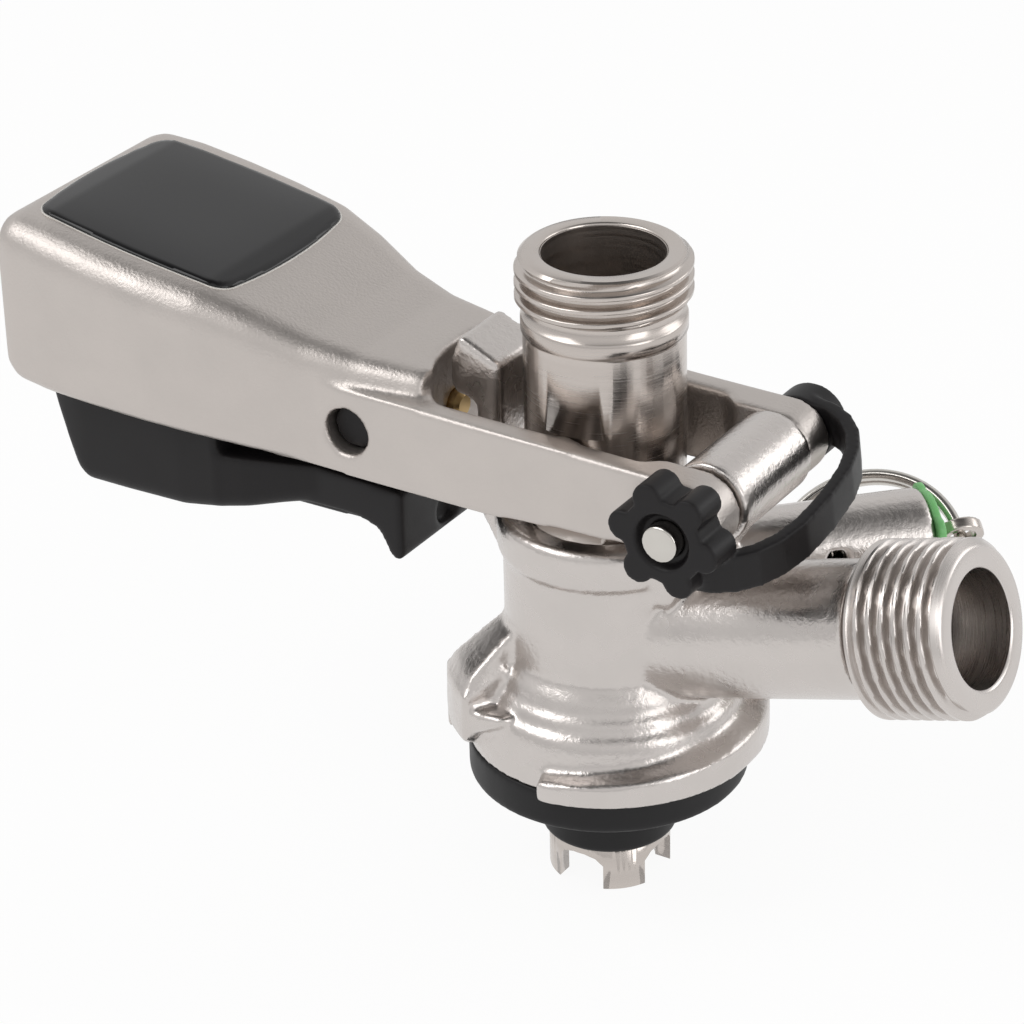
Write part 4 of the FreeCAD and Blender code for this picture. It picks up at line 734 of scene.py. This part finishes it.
class COUPLER_OT_inner(bpy.types.Operator):
    """Springs, bolt, ball and the other inner pieces"""
    bl_idname = "coupler.inner"
    bl_label = "Inner pieces"

    def execute(self, context):
        for node, name in (("relief_spring", "drawn_stainless_wire"),
                           ("latch_spring", "drawn_stainless_wire"),
                           ("bolt_drive_pin", "drawn_stainless_wire"),
                           ("latch_bolt", "turned_brass"),
                           ("ball_retainer", "lathe_turned_stainless"),
                           ("check_ball", "ground_white_acetal"),
                           ("inlet_valve_sleeve", "lathe_turned_stainless_inlet_painted_lighter")):
            dress(node, name)
        return {"FINISHED"}


def softbox(name, place, target, size, power):
    """A rectangular lamp of that width and height, aimed at the target."""
    data = bpy.data.lights.new(name, "AREA")
    data.shape = "RECTANGLE"
    data.size, data.size_y = size
    data.energy = power
    lamp = bpy.data.objects.new(name, data)
    lamp.location = place
    lamp.rotation_euler = (Vector(target) - Vector(place)).to_track_quat("-Z", "Y").to_euler()
    bpy.context.scene.collection.objects.link(lamp)
    return lamp


class COUPLER_OT_stage(bpy.types.Operator):
    """Pale floor, soft lamps, white surroundings and the camera"""
    bl_idname = "coupler.stage"
    bl_label = "Stage"

    def execute(self, context):
        self.floor(context)
        self.surroundings(context)
        softbox("key_softbox", (-0.35, -0.35, 0.62), (0, 0, 0.03), (0.5, 0.4), 1.6)
        softbox("fill_softbox", (0.62, -0.1, 0.3), (0, 0, 0.03), (0.3, 0.4), 0.7)
        softbox("back_softbox", (0.45, 0.5, 0.3), (0, 0, 0.03), (0.4, 0.3), 0.6)
        self.camera(context)
        context.scene.view_settings.view_transform = "Standard"
        return {"FINISHED"}

    def floor(self, context):
        drop = cad_box[0].z - context.scene.coupler_sizes.floor_drop
        mesh = bmesh.new()
        bmesh.ops.create_grid(mesh, x_segments=1, y_segments=1, size=3,
                              matrix=Matrix.Translation((0, 0, drop)))
        data = bpy.data.meshes.new("floor")
        mesh.to_mesh(data)
        mesh.free()
        material = bpy.data.materials.new("pale_paper_floor")
        material.use_nodes = True
        tree = material.node_tree
        tree.nodes.clear()
        colour = (*context.scene.coupler_colours.floor, 1)
        paper = add(tree, "ShaderNodeBsdfDiffuse", {"Color": colour})
        glow = add(tree, "ShaderNodeEmission", {"Color": WHITE, "Strength": 1.0})
        path = add(tree, "ShaderNodeLightPath")
        seen = add(tree, "ShaderNodeMath", {0: (path, "Is Camera Ray"), 1: (path, "Is Glossy Ray")},
                   operation="MAXIMUM")
        seen = add(tree, "ShaderNodeMath", {0: (seen, "Value"), 1: (path, "Is Transmission Ray")},
                   operation="MAXIMUM")
        share = add(tree, "ShaderNodeMath", {0: (seen, "Value"), 1: 0.92}, operation="MULTIPLY")
        mixed = add(tree, "ShaderNodeMixShader", {"Fac": (share, "Value"), 1: (paper, "BSDF"),
                                                  2: (glow, "Emission")})
        add(tree, "ShaderNodeOutputMaterial", {"Surface": (mixed, "Shader")})
        data.materials.append(material)
        floor = bpy.data.objects.new("floor", data)
        context.scene.collection.objects.link(floor)

    def surroundings(self, context):
        """White round the camera, and for the metal a room that is bright above and dimmer at the sides."""
        world = bpy.data.worlds.new("white_studio")
        context.scene.world = world
        world.use_nodes = True
        tree = world.node_tree
        tree.nodes.clear()
        place = add(tree, "ShaderNodeTexCoord")
        split = add(tree, "ShaderNodeSeparateXYZ", {"Vector": (place, "Generated")})
        ramp = add(tree, "ShaderNodeValToRGB", {"Fac": (split, "Z")})
        ramp.color_ramp.elements[0].color = (0.75, 0.75, 0.75, 1)
        ramp.color_ramp.elements[1].color = (0.15, 0.15, 0.15, 1)
        ramp.color_ramp.elements[1].position = 0.96
        for height, level in ((0.25, 0.95), (0.5, 1.0), (0.75, 0.9)):
            ramp.color_ramp.elements.new(height).color = (level, level, level, 1)
        room = add(tree, "ShaderNodeBackground", {"Color": (ramp, "Color"), "Strength": 0.86})
        white = add(tree, "ShaderNodeBackground", {"Color": WHITE, "Strength": 1.0})
        path = add(tree, "ShaderNodeLightPath")
        mixed = add(tree, "ShaderNodeMixShader", {"Fac": (path, "Is Camera Ray"), 1: (room, "Background"),
                                                  2: (white, "Background")})
        add(tree, "ShaderNodeOutputWorld", {"Surface": (mixed, "Shader")})

    def camera(self, context):
        """Camera at the photograph's angle."""
        azimuth, elevation, roll = (math.radians(turn) for turn in CAMERA_TURNS)
        back = Vector((math.sin(azimuth) * math.cos(elevation), -math.cos(azimuth) * math.cos(elevation),
                       math.sin(elevation)))
        right = Vector((math.cos(azimuth), math.sin(azimuth), 0))
        above = back.cross(right)
        side = right * math.cos(roll) + above * math.sin(roll)
        top = above * math.cos(roll) - right * math.sin(roll)
        data = bpy.data.cameras.new("photo_camera")
        data.sensor_width = 36
        data.lens = FOCAL_PIXELS / FRAME_PIXELS * data.sensor_width
        data.clip_start, data.clip_end = 0.01, 20
        camera = bpy.data.objects.new("photo_camera", data)
        turn = Matrix((side, top, back)).transposed().to_4x4()
        camera.matrix_world = Matrix.Translation(CAMERA_PLACE) @ turn
        context.scene.collection.objects.link(camera)
        context.scene.camera = camera


OPERATORS = (COUPLER_OT_body, COUPLER_OT_inlet_thread, COUPLER_OT_probe, COUPLER_OT_lever, COUPLER_OT_badge,
             COUPLER_OT_trigger, COUPLER_OT_keeper, COUPLER_OT_relief, COUPLER_OT_seals, COUPLER_OT_inner,
             COUPLER_OT_stage)


class COUPLER_PT_panel(bpy.types.Panel):
    """Lists the pieces of the coupler"""
    bl_idname = "COUPLER_PT_panel"
    bl_label = "Keg coupler"
    bl_space_type = "VIEW_3D"
    bl_region_type = "UI"
    bl_category = "Coupler"

    def draw(self, context):
        for group in (context.scene.coupler_sizes, context.scene.coupler_colours):
            box = self.layout.box()
            for name in group.__annotations__:
                box.prop(group, name)
        for operator in OPERATORS:
            self.layout.operator(operator.bl_idname)


CLASSES = (CouplerSizes, CouplerColours, *OPERATORS, COUPLER_PT_panel)


def register():
    for item in CLASSES:
        bpy.utils.register_class(item)
    bpy.types.Scene.coupler_sizes = PointerProperty(type=CouplerSizes)
    bpy.types.Scene.coupler_colours = PointerProperty(type=CouplerColours)


def unregister():
    del bpy.types.Scene.coupler_colours
    del bpy.types.Scene.coupler_sizes
    for item in reversed(CLASSES):
        bpy.utils.unregister_class(item)


def main():
    register()
    for operator in OPERATORS:
        group, name = operator.bl_idname.split(".")
        getattr(getattr(bpy.ops, group), name)()


if __name__ == "__main__":
    main()
